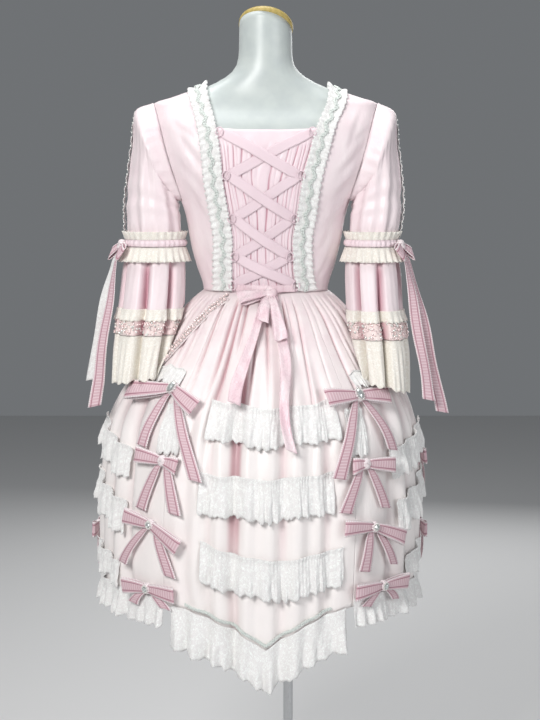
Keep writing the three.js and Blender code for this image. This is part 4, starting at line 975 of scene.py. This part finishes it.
def skirtLace(name, row, replaced):  # gathered at its stitched top, then flared waves and a scalloped edge
    start, end, startZ, endZ, sag, height, flare, waves = row
    down, out = lattice(17, int(waves * (20 if name.startswith("lace_fall") else 16)))
    angle = mix(start, end, out)
    top = mix(startZ, endZ, out) - sag * np.sin(math.pi * out)
    seed = float(sum(map(ord, name)) % 17)
    phase = out * waves * fullTurn + 2.1 * np.sin(out * 8.3 + seed) + 0.9 * np.sin(out * 27 + seed * 2)
    tall = 0.72 + 0.28 * np.sin(out * 15 + seed) * np.sin(out * 6.1 + 2)
    wave = (0.5 - 0.5 * np.cos(phase + 0.5 * down)) ** 0.8 * tall
    small = 0.5 - 0.5 * np.cos(phase * 2.7 + 1.3 * np.sin(out * 31 + seed))
    scallop = 3.0 * np.abs(np.sin(out * waves * fullTurn)) * smooth(down, 0.82, 1)
    drop = 5.0 * wave * smooth(down, 0.3, 1) + 2.2 * np.sin(out * 11 + seed) * down
    z = top + 4 + 1.6 * np.sin(out * 17 + seed) - (height + 4) * down - drop - scallop
    stitched = bell((down - 0.13) / 0.07)
    fine = 0.7 * np.sin(phase * 3 + seed) * (1 - smooth(down, 0.2, 0.5))
    bumps = 1.3 * froth(out * (end - start) * 4.4 / 2.1, down * height / 2.6, seed) * smooth(down, 0.1, 0.5)
    flared = flare * (0.2 + 0.6 * wave + 0.12 * small) * smooth(down, 0.12, 0.9) + bumps
    lift = 3.2 + 2.4 * smooth(0.13 - down, 0, 0.13) + flared + fine - 0.9 * stitched
    grid = laceFace(angle, z) - levelInward(angle) * lift[..., None]
    makeCloth(name + "_cloth", [patch(grid)], "lace", replaced)


for name, row in laceBands.items():
    skirtLace(name, row, [name])
# short frills above the two upper bows, in the scene only
skirtLace("lace_above_left", (37, 62, 913, 909, -9, 20, 6, 9), ())
skirtLace("lace_above_right", (-60, -40, 905, 908, -7, 18, 6, 7), ())

# angle from and to, drop below the satin's edge, rise above it, flare, waves
hemRuffles = {"hem_ruffle_back": (-31, 31, 70, 4, 16, 11), "hem_ruffle_left": (34, 179.7, 36, 14, 12, 30),
              "hem_ruffle_right": (180, 326, 36, 14, 12, 30)}


def hemRuffle(name, start, end, drop, rise, flare, waves):  # waves that grow downwards, and a scalloped edge
    down, out = lattice(18, waves * 16)
    angle = mix(start, end, out)
    phase = out * waves * fullTurn + 1.6 * np.sin(out * waves * 0.9) + 0.7 * np.sin(out * waves * 2.3 + 1)
    wave = (0.5 - 0.5 * np.cos(phase)) ** 0.8 * (0.75 + 0.25 * np.sin(out * waves * 1.3 + 2))
    top = hemHeight(angle) + rise
    scallop = 3.2 * np.abs(np.sin(out * (end - start) * 1.45)) * smooth(down, 0.84, 1)
    z = top - (drop + rise) * down * (0.94 + 0.06 * wave) - scallop
    bumps = 1.2 * froth(out * (end - start) * 2, down * drop / 2.8, start * 0.1) * smooth(down, 0.15, 0.5)
    lift = 3.2 + flare * (0.1 + 1.0 * wave) * smooth(down, 0.05, 1.0) + bumps
    grid = laceFace(angle, np.maximum(z, hemHeight(angle))) - levelInward(angle) * lift[..., None]
    grid[..., 2] = z
    makeCloth(name + "_cloth", [patch(grid)], "lace", [name])


for name, row in hemRuffles.items():
    hemRuffle(name, *row)


hemBraid = {"from": -26, "to": 26, "rows": 300, "above": 12, "swing": 2.6, "swingEvery": 9.0, "cord": 0.85,
            "core": 1.0, "coreLift": 3.1}


def makeHemBraid():  # a little above the hem
    angle = np.linspace(hemBraid["from"], hemBraid["to"], hemBraid["rows"])
    face = laceFace(angle, hemHeight(angle) + hemBraid["above"])
    p, n, s = resample(face, -levelInward(angle), len(angle))
    n = unit(n)
    crossedCords("hem_braid_cords", p, n, acrossPath(p, n), s, hemBraid, ["hem_braid"])


makeHemBraid()
beadedBraid = {
    "course": table("s angle z", (0, 33, 1040), (1, 42, 1014), (2, 49, 982), (3, 54, 952), (4, 58, 926)),
    "beads": 27, "bead": 3.0, "seeds": 6, "seed": 0.9, "wide": 17.0,
}


def makeBeadedBraid():  # two rows of beads ringed by seeds, on a ribbon
    course = beadedBraid["course"]
    centres, radii, seeds = [], [], []
    at = np.linspace(0.05, 3.95, beadedBraid["beads"])
    for offset in (-6.0, 6.0):
        part = 1 + 0.5 * smooth(at, 2.4, 4)
        angle = curve(course, "angle", at) + offset * 0.1 * part
        z = curve(course, "z", at) + offset * 0.75 * part + 1.2 * np.sin(at * 9 + offset)
        up = normalOf(skirtEnvelope, angle, z)
        centres.append(skirtEnvelope(angle, z) + up * 3.4)
        radii.append(beadedBraid["bead"] + 0.6 * np.sin(at * 23 + offset))
        for t in np.linspace(0, fullTurn, beadedBraid["seeds"], endpoint=False):
            seeds.append(centres[-1] + stack(2.6 * math.cos(t), 0.6, 3.6 * math.sin(t)) + up * -0.6)
    centres, radii, seeds = (np.concatenate(values) for values in (centres, radii, seeds))
    small = np.full(len(seeds), beadedBraid["seed"])
    makeBeads("beaded_braid_beads", centres, radii, look["pearl"])
    makeBeads("beaded_braid_seeds", seeds, small, look["white"])
    t = np.linspace(0, 4, 60)
    angle, z = curve(course, "angle", t), curve(course, "z", t)
    up = normalOf(skirtEnvelope, angle, z)
    grid = ribbonGrid(skirtEnvelope(angle, z) + up * 0.9, up, beadedBraid["wide"], 9)
    makeCloth("beaded_braid_cloth", faceOut([patch(grid)], [0, 1, 0]), "beadRibbon",
              ["beaded_braid"])


makeBeadedBraid()
print("skirt trims ready")


# bows
ribbonBow = {
    "loopRise": 16.0,  # how far a loop 100 mm long stands off towards its end
    "knotWide": 8.4, "knotTall": 9.4, "knotDeep": 7.2,
}


def bowParts(place, loops, tails, width, endLift, wave=1.0, turn=0.0, crush=0.0, picot=0.0):
    # ribbon strips across, up and off in the bow's own frame, then placed
    patches = []

    def addStrip(a, b, c, s):
        length = np.concatenate([[0], np.cumsum(np.hypot(np.diff(s[0]), np.diff(s[1])))]) * 0.001
        share = np.linspace(0, 1, a.shape[1])
        patches.append(patch(place(a, b, c), uv=stack(length[:, None], share[None, :], 0)[..., :2]))

    v = np.linspace(-1, 1, 7)[None, :]
    for way, (reach, droop) in zip((1, -1), loops):
        ahead, up = math.cos(math.radians(droop)), -math.sin(math.radians(droop))
        t = np.linspace(0, 1, 36)[:, None]
        full = np.sin(math.pi * t)  # 0 at the knot, 1 at the loop's end
        x = 4 + (reach - 4) * full ** 0.85
        half = v * (width / 2 * (0.42 + 0.58 * full ** 0.6) + picot)
        c = 8.3 + 5.4 * np.cos(math.pi * t) * (0.5 + 0.6 * full)
        c = c + 1.3 * np.cos(3 * math.pi * v) * (1 - full ** 0.5)
        c = c + (0.9 + crush) * np.sin(2.4 * math.pi * t + (1.5 + crush) * v + reach) * full
        c = np.clip(c, 2.0, 14.5) + ribbonBow["loopRise"] * (x / 100) ** 2
        sag = 2.5 * full ** 2 * ahead
        addStrip(way * (x * ahead - half * up), x * up + half * ahead - sag, c, (x[:, 0], c[:, 4]))
    for sideways, down in tails:
        t = np.linspace(0, 1, int(20 + down / 6))[:, None]
        half = mix(4.0, width * 0.46, np.sqrt(t)) + picot * smooth(t, 0.05, 0.3)
        curl = wave * 1.6 * np.sin(t * down / 26 + sideways) * smooth(t, 0.1, 0.4)
        twist = math.radians(turn) * smooth(t, 0.05, 0.55) * (1 + 0.25 * np.sin(t * down / 40 + sideways))
        a = np.sign(sideways) * 3.5 + sideways * t ** 0.8 + v * half * np.cos(twist)
        b = -down * t - 2 - 2.5 * (1 - v) * t ** 8 + 0 * v
        c = mix(6.0, endLift, t) + 2 * np.sin(math.pi * t) + curl + 0.8 * v * np.sin(t * down / 33 + 1) * t
        c = c + crush * np.cos(2.6 * v + 4 * np.sin(t * down / 60 + sideways)) * smooth(t, 0.02, 0.2)
        b = b + crush * 0.8 * v * np.sin(t * down / 24 + sideways)
        a = a * (1 - 0.09 * crush * np.sin(t * down / 31 + 2 * sideways))
        a = a + crush * 1.2 * np.sin(t * down / 37 + sideways)
        c = np.maximum(c, 2.4) - v * half * np.sin(twist)
        addStrip(a, b, c, ((sideways * t)[:, 0], (down * t)[:, 0]))
    polar, spin = lattice(10, 17)
    polar, spin = polar * math.pi, spin * fullTurn
    ring = np.sin(polar) ** 0.7
    a = ribbonBow["knotWide"] * ring * np.cos(spin) * (1 + 0.05 * np.cos(6 * spin))
    b = ribbonBow["knotTall"] * ring * np.sin(spin)
    c = 7.4 + ribbonBow["knotDeep"] * np.cos(polar) * (1 + 0.05 * np.cos(4 * spin))
    patches.append(patch(place(a, b, c)))
    return patches


def skirtPlace(angle0, z0):  # wraps a bow's own frame round the skirt's outline
    def place(a, b, c):
        z = z0 + b
        middle = skirtEnvelope(np.full(z.shape, angle0), z)
        radius = np.hypot(middle[..., 0], middle[..., 1])
        return lifted(skirtEnvelope, angle0 + np.degrees(a / radius), z, 0.9 + c)
    return place


# angle, height, loops as length and droop, tails as sideways and down, lift of the tails' ends
bows = {
    "bow_left_1": (38, 883, ((94, 8), (66, 25)), ((28, 92), (-80, 142)), 9),
    "bow_left_2": (34.5, 766, ((58, -8), (30, 10)), ((41, 82), (-26, 84)), 6),
    "bow_left_3": (38, 656, ((62, -10), (68, 27)), ((68, 72), (-37, 82)), 8),
    "bow_left_4": (39.6, 544, ((60, 0), (60, 2)), ((34, 26), (-34, 26)), 12),
    "bow_right_1": (-38.5, 872, ((62, 0), (66, 4)), ((54, 129), (-52, 90)), 10),
    "bow_right_2": (-37.5, 760, ((26, 0), (62, 5)), ((38, 76), (-41, 76)), 7),
    "bow_right_3": (-40.5, 651, ((62, -6), (76, 20)), ((12, 72), (-52, 70)), 6),
    "bow_right_4": (-46, 544, ((64, 0), (66, 0)), ((34, 26), (-34, 26)), 12),
    "bow_side_left": (97, 604, ((44, 0), (44, 0)), ((26, 54), (-28, 60)), 6),
    "bow_side_right_1": (-97, 742, ((44, 0), (44, 0)), ((26, 66), (-24, 70)), 6),
    "bow_side_right_2": (-97, 606, ((44, 0), (44, 0)), ((26, 54), (-24, 62)), 6),
}
ladderBow = {
    "width": 25, "picot": 1.7,
    "jewel": (4.0, 4.6), "largeJewel": (6.0, 7.5), "sides": 10, "beads": 16, "bead": 1.3,
    "noJewel": ("bow_left_2", "bow_right_2", "bow_side_left", "bow_side_right_1", "bow_side_right_2"),
}


def jewel(place, wide, tall):  # cut dome in steps, with a ring of small beads
    rings = np.array([(1.0, 0.0), (1.0, 1.4), (0.74, 3.2), (0.4, 4.2), (0.02, 4.4)])
    turn = np.arange(ladderBow["sides"]) / ladderBow["sides"] * fullTurn
    radius, height = rings[:, :1], rings[:, 1:]
    grid = place(radius * wide * np.cos(turn), radius * tall * np.sin(turn), 14.6 + height + 0 * turn)
    ring = np.arange(ladderBow["beads"]) / ladderBow["beads"] * fullTurn
    beads = place((wide + 1.4) * np.cos(ring), (tall + 1.4) * np.sin(ring), np.full(len(ring), 15.0))
    return patch(grid, wrap=True), beads


def skirtBow(name, angle0, z0, loops, tails, endLift):  # the ribbon, and its jewel where it has one
    place = skirtPlace(angle0, z0)
    parts = bowParts(place, loops, tails, ladderBow["width"], endLift, picot=ladderBow["picot"])
    parts = faceOut(parts, -levelInward(np.array(angle0, dtype=float)))
    makeCloth(name + "_ribbon", parts, "ladder", [name])
    if name not in ladderBow["noJewel"]:
        stone, beads = jewel(place, *ladderBow["largeJewel" if name.endswith("1") else "jewel"])
        makePiece(name + "_jewel", [stone], look["jewel"], flat=True)
        makeBeads(name + "_beads", beads, np.full(len(beads), ladderBow["bead"]), look["white"])


for name, row in bows.items():
    skirtBow(name, *row)


waistBow = {
    "height": 1044, "aside": 7, "width": 20, "endLift": 17, "wave": 1.6, "crush": 1.9, "band": 13.0,
    "loops": ((46, 14), (84, 78)), "tails": ((44, 178), (-34, 253), (6, 48)),
}


def makeWaistBow():  # crushed satin loops and long tails on a narrow band
    def place(a, b, c):  # on the skirt's outline, straight up above the waist
        z = waistBow["height"] + b
        low = np.minimum(z, waistZ - 4)
        radius = skirtEnvelope(np.zeros(z.shape), low)[..., 1]
        point = lifted(skirtEnvelope, np.degrees((a - waistBow["aside"]) / radius), low, 0.9 + c)
        point[..., 2] += z - low
        return point

    parts = bowParts(place, waistBow["loops"], waistBow["tails"], waistBow["width"], waistBow["endLift"],
                     wave=waistBow["wave"], crush=waistBow["crush"])
    x = np.linspace(52, -52, 50)
    z = np.full(x.shape, waistZ + 7.0)
    lift = 3.5 + 8.5 * (1 - smooth(np.abs(x), 12, 50))
    angle = bodyAngle(x, z)
    band = ribbonGrid(lifted(bodyPoint, angle, z, lift), normalOf(bodyPoint, angle, z), waistBow["band"])
    parts = faceOut([*parts, patch(band)], [0, 1, 0])
    for p in parts:
        p["uv"] = clothUv(p["grid"], p["wrap"])
    makeCloth("waist_bow_ribbon", parts, "bow", ["waist_bow"])


makeWaistBow()
print("bows ready")


# sleeves
sleeveRings = {  # x, y, z, tilt, half width, half depth
    "left": [(206, 0, 1291, 70, 84, 66), (203, 2, 1265, 48, 58, 62), (204, 4, 1228, 24, 49, 58),
             (205, 6, 1192, 6, 49, 56), (202, 9, 1135, 0, 50, 56)],
    "right": [(205, 0, 1288, 70, 83, 66), (202, 3, 1263, 48, 56, 61), (202, 7, 1228, 24, 47, 56),
              (201, 11, 1192, 6, 46, 54), (194, 16, 1135, 0, 43, 52)],
}
def flounceTable(*rows):  # height, middle, half width and depth, lobes, tilt in degrees
    return table("z x y across deep wave tilt", *rows)


flounceRings = {
    "left": flounceTable(
        (1192, 205, 6, 49, 56, 0, 0), (1134.7, 202, 9, 50, 56, 2, 0), (1080, 204, 20, 53, 60, 4.5, 0),
        (1017, 208, 36, 52, 64, 7.5, 0), (974, 214, 50, 50, 66, 8, 0), (899, 222, 76, 46, 64, 8.5, -8)),
    "right": flounceTable(
        (1192, 201, 11, 46, 54, 0, 0), (1134.7, 194, 16, 43, 52, 2, 0), (1080, 195, 34, 46, 58, 4.5, 0),
        (1015, 197, 58, 44, 62, 7, 0), (968, 203, 76, 44, 62, 8, 0), (890, 208, 106, 42, 60, 8.5, -14)),
}


def clearOfSkirt(name, point, lift):  # below the waist, moved out to the skirt's outline and 6 mm more
    z = point[..., 2]
    shift = curve(skirtRows, "shift", z) * (1 if name == "left" else -1)
    wide = curve(skirtRows, "side", z) + shift + 6 + lift
    long = np.where(point[..., 1] > 0, curve(skirtRows, "back", z), curve(skirtRows, "front", z)) + 6 + lift
    share = np.hypot(point[..., 0] / wide, point[..., 1] / long)
    push = np.where((z < waistZ) & (share < 1), 1 / np.maximum(share, 1e-6), 1)
    return stack(point[..., 0] * push, point[..., 1] * push, z)


def armholeRing(turn):  # the bodice panels' outer edge
    middle, reach = (underarmZ + shoulderZ) / 2, (shoulderZ - underarmZ) / 2
    z = middle + reach * np.cos(turn)
    x = curve(bodyRows, "side", z) - bodice["armholeDepth"] * np.abs(np.sin(turn))
    back = bodyPoint(np.abs(bodyAngle(x, z)), z)
    front = bodyPoint(np.abs(bodyAngle(x, z, True)), z)
    point = np.where((np.sin(turn) < 0)[:, None], front, back)
    return point + [0.3, 0, 0]


def sleeveCloth(side, name, grids, cloth, replaces=(), shade=0):  # tubes round the arm, one mirrored
    patches = [patch(grid * [side, 1, 1], wrap=True, flip=side > 0, shade=shade) for grid in grids]
    makeCloth(name, patches, cloth, replaces)


upper = {"columns": 112, "rows": 56, "levels": [0, 0.4, 0.9, 1.6, 2.3, 3.4],
         "puff": 5.0, "head": 1.3, "folds": 2.0, "cuffed": 2.4}


def upperSleeve(side):  # rings joined smoothly, with a gathered head, long folds and a gathered end
    name = sideName(side)
    turn = np.arange(upper["columns"]) / upper["columns"] * fullTurn
    rings = [armholeRing(turn)]
    for x, y, z, tilt, across, deep in sleeveRings[name]:
        a, t = across * np.cos(turn), math.radians(tilt)
        rings.append(stack(x + a * math.cos(t), y + deep * np.sin(turn), z + a * math.sin(t)))
    at = np.linspace(0, upper["levels"][-1], upper["rows"])
    grid = hermite(np.array(upper["levels"]), np.array(rings), at)
    down = (at / upper["levels"][-1])[:, None]
    puff = upper["puff"] * bell((down - 0.1) / 0.09) * smooth(np.cos(turn), -0.5, 0.6)[None, :]
    head = (0.5 - 0.5 * np.cos(26 * turn + 0.8 * np.sin(5 * turn)))[None, :] * (1 - smooth(down, 0.16, 0.42))
    head = head * smooth(down, 0.0, 0.04)
    folds = np.cos(8 * turn[None, :] + 0.9 * np.sin(down * 6))
    folds = folds + 0.6 * np.cos(13 * turn[None, :] + 2 - down * 3)
    cuffed = (0.5 - 0.5 * np.cos(21 * turn))[None, :] * smooth(down, 0.72, 0.95)
    creases = np.sin(down * 34 + 2.1 * np.sin(turn)[None, :]) * bell((down - 0.55) / 0.16) * 1.2
    depth = upper["head"] * head + upper["folds"] * folds * smooth(down, 0.1, 0.4) + upper["cuffed"] * cuffed
    grid = grid + gridNormals(grid, True) * (depth + creases - puff)[..., None]
    sleeveCloth(side, "sleeve_upper_" + name + "_cloth", [grid], "sleeve",
                ["sleeve_upper_" + name])


def flounceGrid(name, z, turn, lift, wobble=None):
    # ellipse with seven lobes, rounded outwards and sharp inwards, or with a wobble in place of the lobes
    rows = flounceRings[name]
    turn = turn + 0 * z
    if wobble is None:
        lobe = 1 - 3.3 * bell(np.cos(7 * turn / 2 + 0.2 * np.sin(2 * turn + 1)) / 0.36)
        wobble = curve(rows, "wave", z) * 1.15 * lobe
    across = (curve(rows, "across", z) + lift + wobble) * np.cos(turn)
    deep = (curve(rows, "deep", z) + lift + wobble) * np.sin(turn)
    tip = np.radians(curve(rows, "tilt", z))
    x, y = curve(rows, "x", z) + across * np.cos(tip), curve(rows, "y", z) + deep
    return clearOfSkirt(name, stack(x, y, z + across * np.sin(tip)), lift)


lowerSleeve = {
    "top": 1134.7, "columns": 192,
    # lower ends
    "left": {"flounce": 1017.0, "band": 974.0, "cuff": 899.0},
    "right": {"flounce": 1015.0, "band": 968.0, "cuff": 890.0},
    "beads": 420, "pinkShare": 2 / 3, "beadFrom": 1.2, "beadTo": 2.5,
    # elbow lace: heights, lifts, ripples and the way its free edge points
    "elbowLace": ((1156, 1142, 9.0, 4.4, 2.2, 0.4, 1), (1129, 1104, 6.0, 12.6, 0.4, 3.0, -1)), "ripples": 27,
}
ringTurn = (np.arange(lowerSleeve["columns"]) / lowerSleeve["columns"] * fullTurn)[None, :]


def rowsDown(count, top, low):  # share from 0 to 1 and height, row by row
    down = np.linspace(0, 1, count)[:, None]
    return down, mix(top, low, down) + 0 * ringTurn


def sleeveTier(side, word, top, low, rows, cloth, scallop=0.0, fine=0.0):  # one piece below the elbow band
    name = sideName(side)
    down, z = rowsDown(rows, top, low)
    grid = flounceGrid(name, z, ringTurn, fine * np.sin(31 * ringTurn + 3 * down) * smooth(down, 0, 0.4))
    grid[..., 2] -= scallop * np.abs(np.sin(10 * ringTurn)) * smooth(down, 0.8, 1)
    # painted shade in the seven creases below the elbow, read by the satin of the flounce and the bead band
    crease = bell(np.cos(3.5 * ringTurn + 0.2 * np.sin(2 * ringTurn + 1)) / 0.4) * smooth(1130 - z, 10, 50)
    name, rests = word + name, "sleeve_upper_" + name + "_cloth"
    sleeveCloth(side, name + "_cloth", [grid], cloth, [name], crease)


def cuffBeads(side):  # scattered at random over the beaded band and the cuff's top
    name, count = sideName(side), lowerSleeve["beads"]
    own = lowerSleeve[name]
    z = chance.uniform(own["band"] + 1, own["flounce"] - 15, count)
    centres = flounceGrid(name, z, chance.uniform(0, fullTurn, count), np.full(count, 1.5)) * [side, 1, 1]
    radii = chance.uniform(lowerSleeve["beadFrom"], lowerSleeve["beadTo"], count)
    part = round(count * lowerSleeve["pinkShare"])
    makeBeads("cuff_beads_" + name, centres[:part], radii[:part], look["pearl"])
    makeBeads("cuff_sequins_" + name, centres[part:], radii[part:], look["white"])


def cuffHeading(side):  # short frill over the beaded band's top
    name = sideName(side)
    low = lowerSleeve[name]["flounce"]
    _, z = rowsDown(9, low + 3, low - 16)
    frill = smooth(low - z, 2, 16)
    grid = flounceGrid(name, z, ringTurn, 2.2 + 2.2 * frill + (0.6 + 1.4 * frill) * np.sin(24 * ringTurn))
    grid[..., 2] -= 2.0 * np.abs(np.sin(24 * ringTurn)) * frill
    sleeveCloth(side, "cuff_heading_" + name, [grid], "frill")


def elbowBand(side):  # two strips of lace with a gathered ribbon between them
    name = sideName(side)
    strips = []
    for top, low, liftTop, liftLow, waveTop, waveLow, way in lowerSleeve["elbowLace"]:
        down, z = rowsDown(8, top, low)
        ripple = mix(waveTop, waveLow, down) * np.sin(lowerSleeve["ripples"] * ringTurn)
        grid = flounceGrid(name, z, ringTurn, mix(liftTop, liftLow, down) + ripple, 0 * z)
        edge = smooth(down if way < 0 else 1 - down, 0.7, 1)
        grid[..., 2] += way * 1.6 * np.abs(np.sin(lowerSleeve["ripples"] * ringTurn)) * edge
        strips.append(grid)
    sleeveCloth(side, "sleeve_band_" + name + "_lace", strips, "frill", ["sleeve_band_" + name])
    down, z = rowsDown(9, 1142.5, 1130.0)
    bulged = np.sin(math.pi * down)
    bulge = 5.2 + 2.4 * bulged + (0.5 + 0.9 * bulged) * np.sin(34 * ringTurn + np.sin(9 * ringTurn))
    grid = flounceGrid(name, z, ringTurn, bulge, 0 * z)
    sleeveCloth(side, "sleeve_band_" + name + "_ribbon", [grid], "elbowRibbon")


def armLace(side):  # strip down the outer arm, ruffled and scalloped towards both edges, with a row of beads
    name = sideName(side)
    at = np.linspace(0, 4.3, 96)
    values = hermite(np.array([0, 1, 2, 3, 4.5]), np.array(sleeveRings[name], dtype=float), at)
    offset = np.linspace(-15, 15, 13)[None, :]
    x, y, z, tilt, across, deep = (values[:, k:k + 1] for k in range(6))
    a = offset / deep
    ruffle = np.abs(offset) / 15
    lift = 4.4 + 2.6 * ruffle ** 2 + 1.5 * ruffle * np.sin(at[:, None] * 17)
    scallop = 1.2 * np.sin(at[:, None] * 34) * ruffle ** 6 * np.sign(offset)
    tip = np.radians(tilt)
    wide, long = (across + lift) * np.cos(a), (deep + lift) * np.sin(a)
    grid = stack(side * (x + wide * np.cos(tip)), y + long + scallop, z + wide * np.sin(tip))
    makeCloth("sleeve_lace_" + name + "_cloth", faceOut([patch(grid)], [side, 0, 0]), "lace",
              ["sleeve_lace_" + name])
    beads = grid[4:-2:3, 6] + [side * 1.8, 0, 0]
    makeBeads("sleeve_beads_" + name, beads, np.full(len(beads), 1.5), look["white"])


elbowBow = {
    "lift": 7.1, "z": 1134.0, "loops": ((32, 30), (32, 30)), "width": 23.0, "endLift": 2.0, "turn": 52.0,
    "picot": 1.2,
    "left": {"facing": 24.0, "slope": 0.2, "tails": ((-14, 242), (20, 286))},
    "right": {"facing": 30.0, "slope": 0.24, "tails": ((-16, 298), (18, 272))},
}


def sleeveBow(side):  # knot on the band's outer side, tails that hang down the flounce
    name = sideName(side)
    rows, own, top = flounceRings[name], elbowBow[name], lowerSleeve["top"]
    facing = math.radians(own["facing"])
    out = np.array([math.cos(facing), math.sin(facing), 0])
    along = np.array([-math.sin(facing), math.cos(facing), 0])
    middle = np.array([curve(rows, "x", top), curve(rows, "y", top), elbowBow["z"]])
    reach = np.array([curve(rows, "across", top), curve(rows, "deep", top), 0]) + elbowBow["lift"]
    start = middle + reach * out

    def place(a, b, c):
        spread = c + np.minimum(15.4, np.maximum(0, -b) * 0.55) + np.maximum(0, -b - 28) * own["slope"]
        point = start + a[..., None] * along + spread[..., None] * out
        point[..., 2] += b
        return point * [side, 1, 1]

    parts = bowParts(place, elbowBow["loops"], own["tails"], elbowBow["width"], elbowBow["endLift"],
                     turn=elbowBow["turn"], picot=elbowBow["picot"])
    parts = faceOut(parts, out * [side, 1, 1])
    if side > 0:  # one tail is of lace
        laceTail = parts.pop(2)
        laceTail["uv"] = clothUv(laceTail["grid"], False)
        makeCloth("sleeve_bow_left_lace", [laceTail], "laceTail")
    makeCloth("sleeve_bow_" + name + "_ribbon", parts, "ladder",
              ["sleeve_bow_" + name])


for side in (1, -1):
    own = lowerSleeve[sideName(side)]
    upperSleeve(side)
    sleeveTier(side, "sleeve_flounce_", lowerSleeve["top"], own["flounce"], 36, "flounce", fine=0.25)
    sleeveTier(side, "sleeve_bead_band_", own["flounce"] - 0.8, own["band"], 12, "beadBand")
    sleeveTier(side, "sleeve_cuff_", own["band"] - 0.8, own["cuff"], 28, "cuff", scallop=5.5, fine=1.2)
    cuffBeads(side)
    cuffHeading(side)
    elbowBand(side)
    armLace(side)
    sleeveBow(side)
print("sleeves ready")
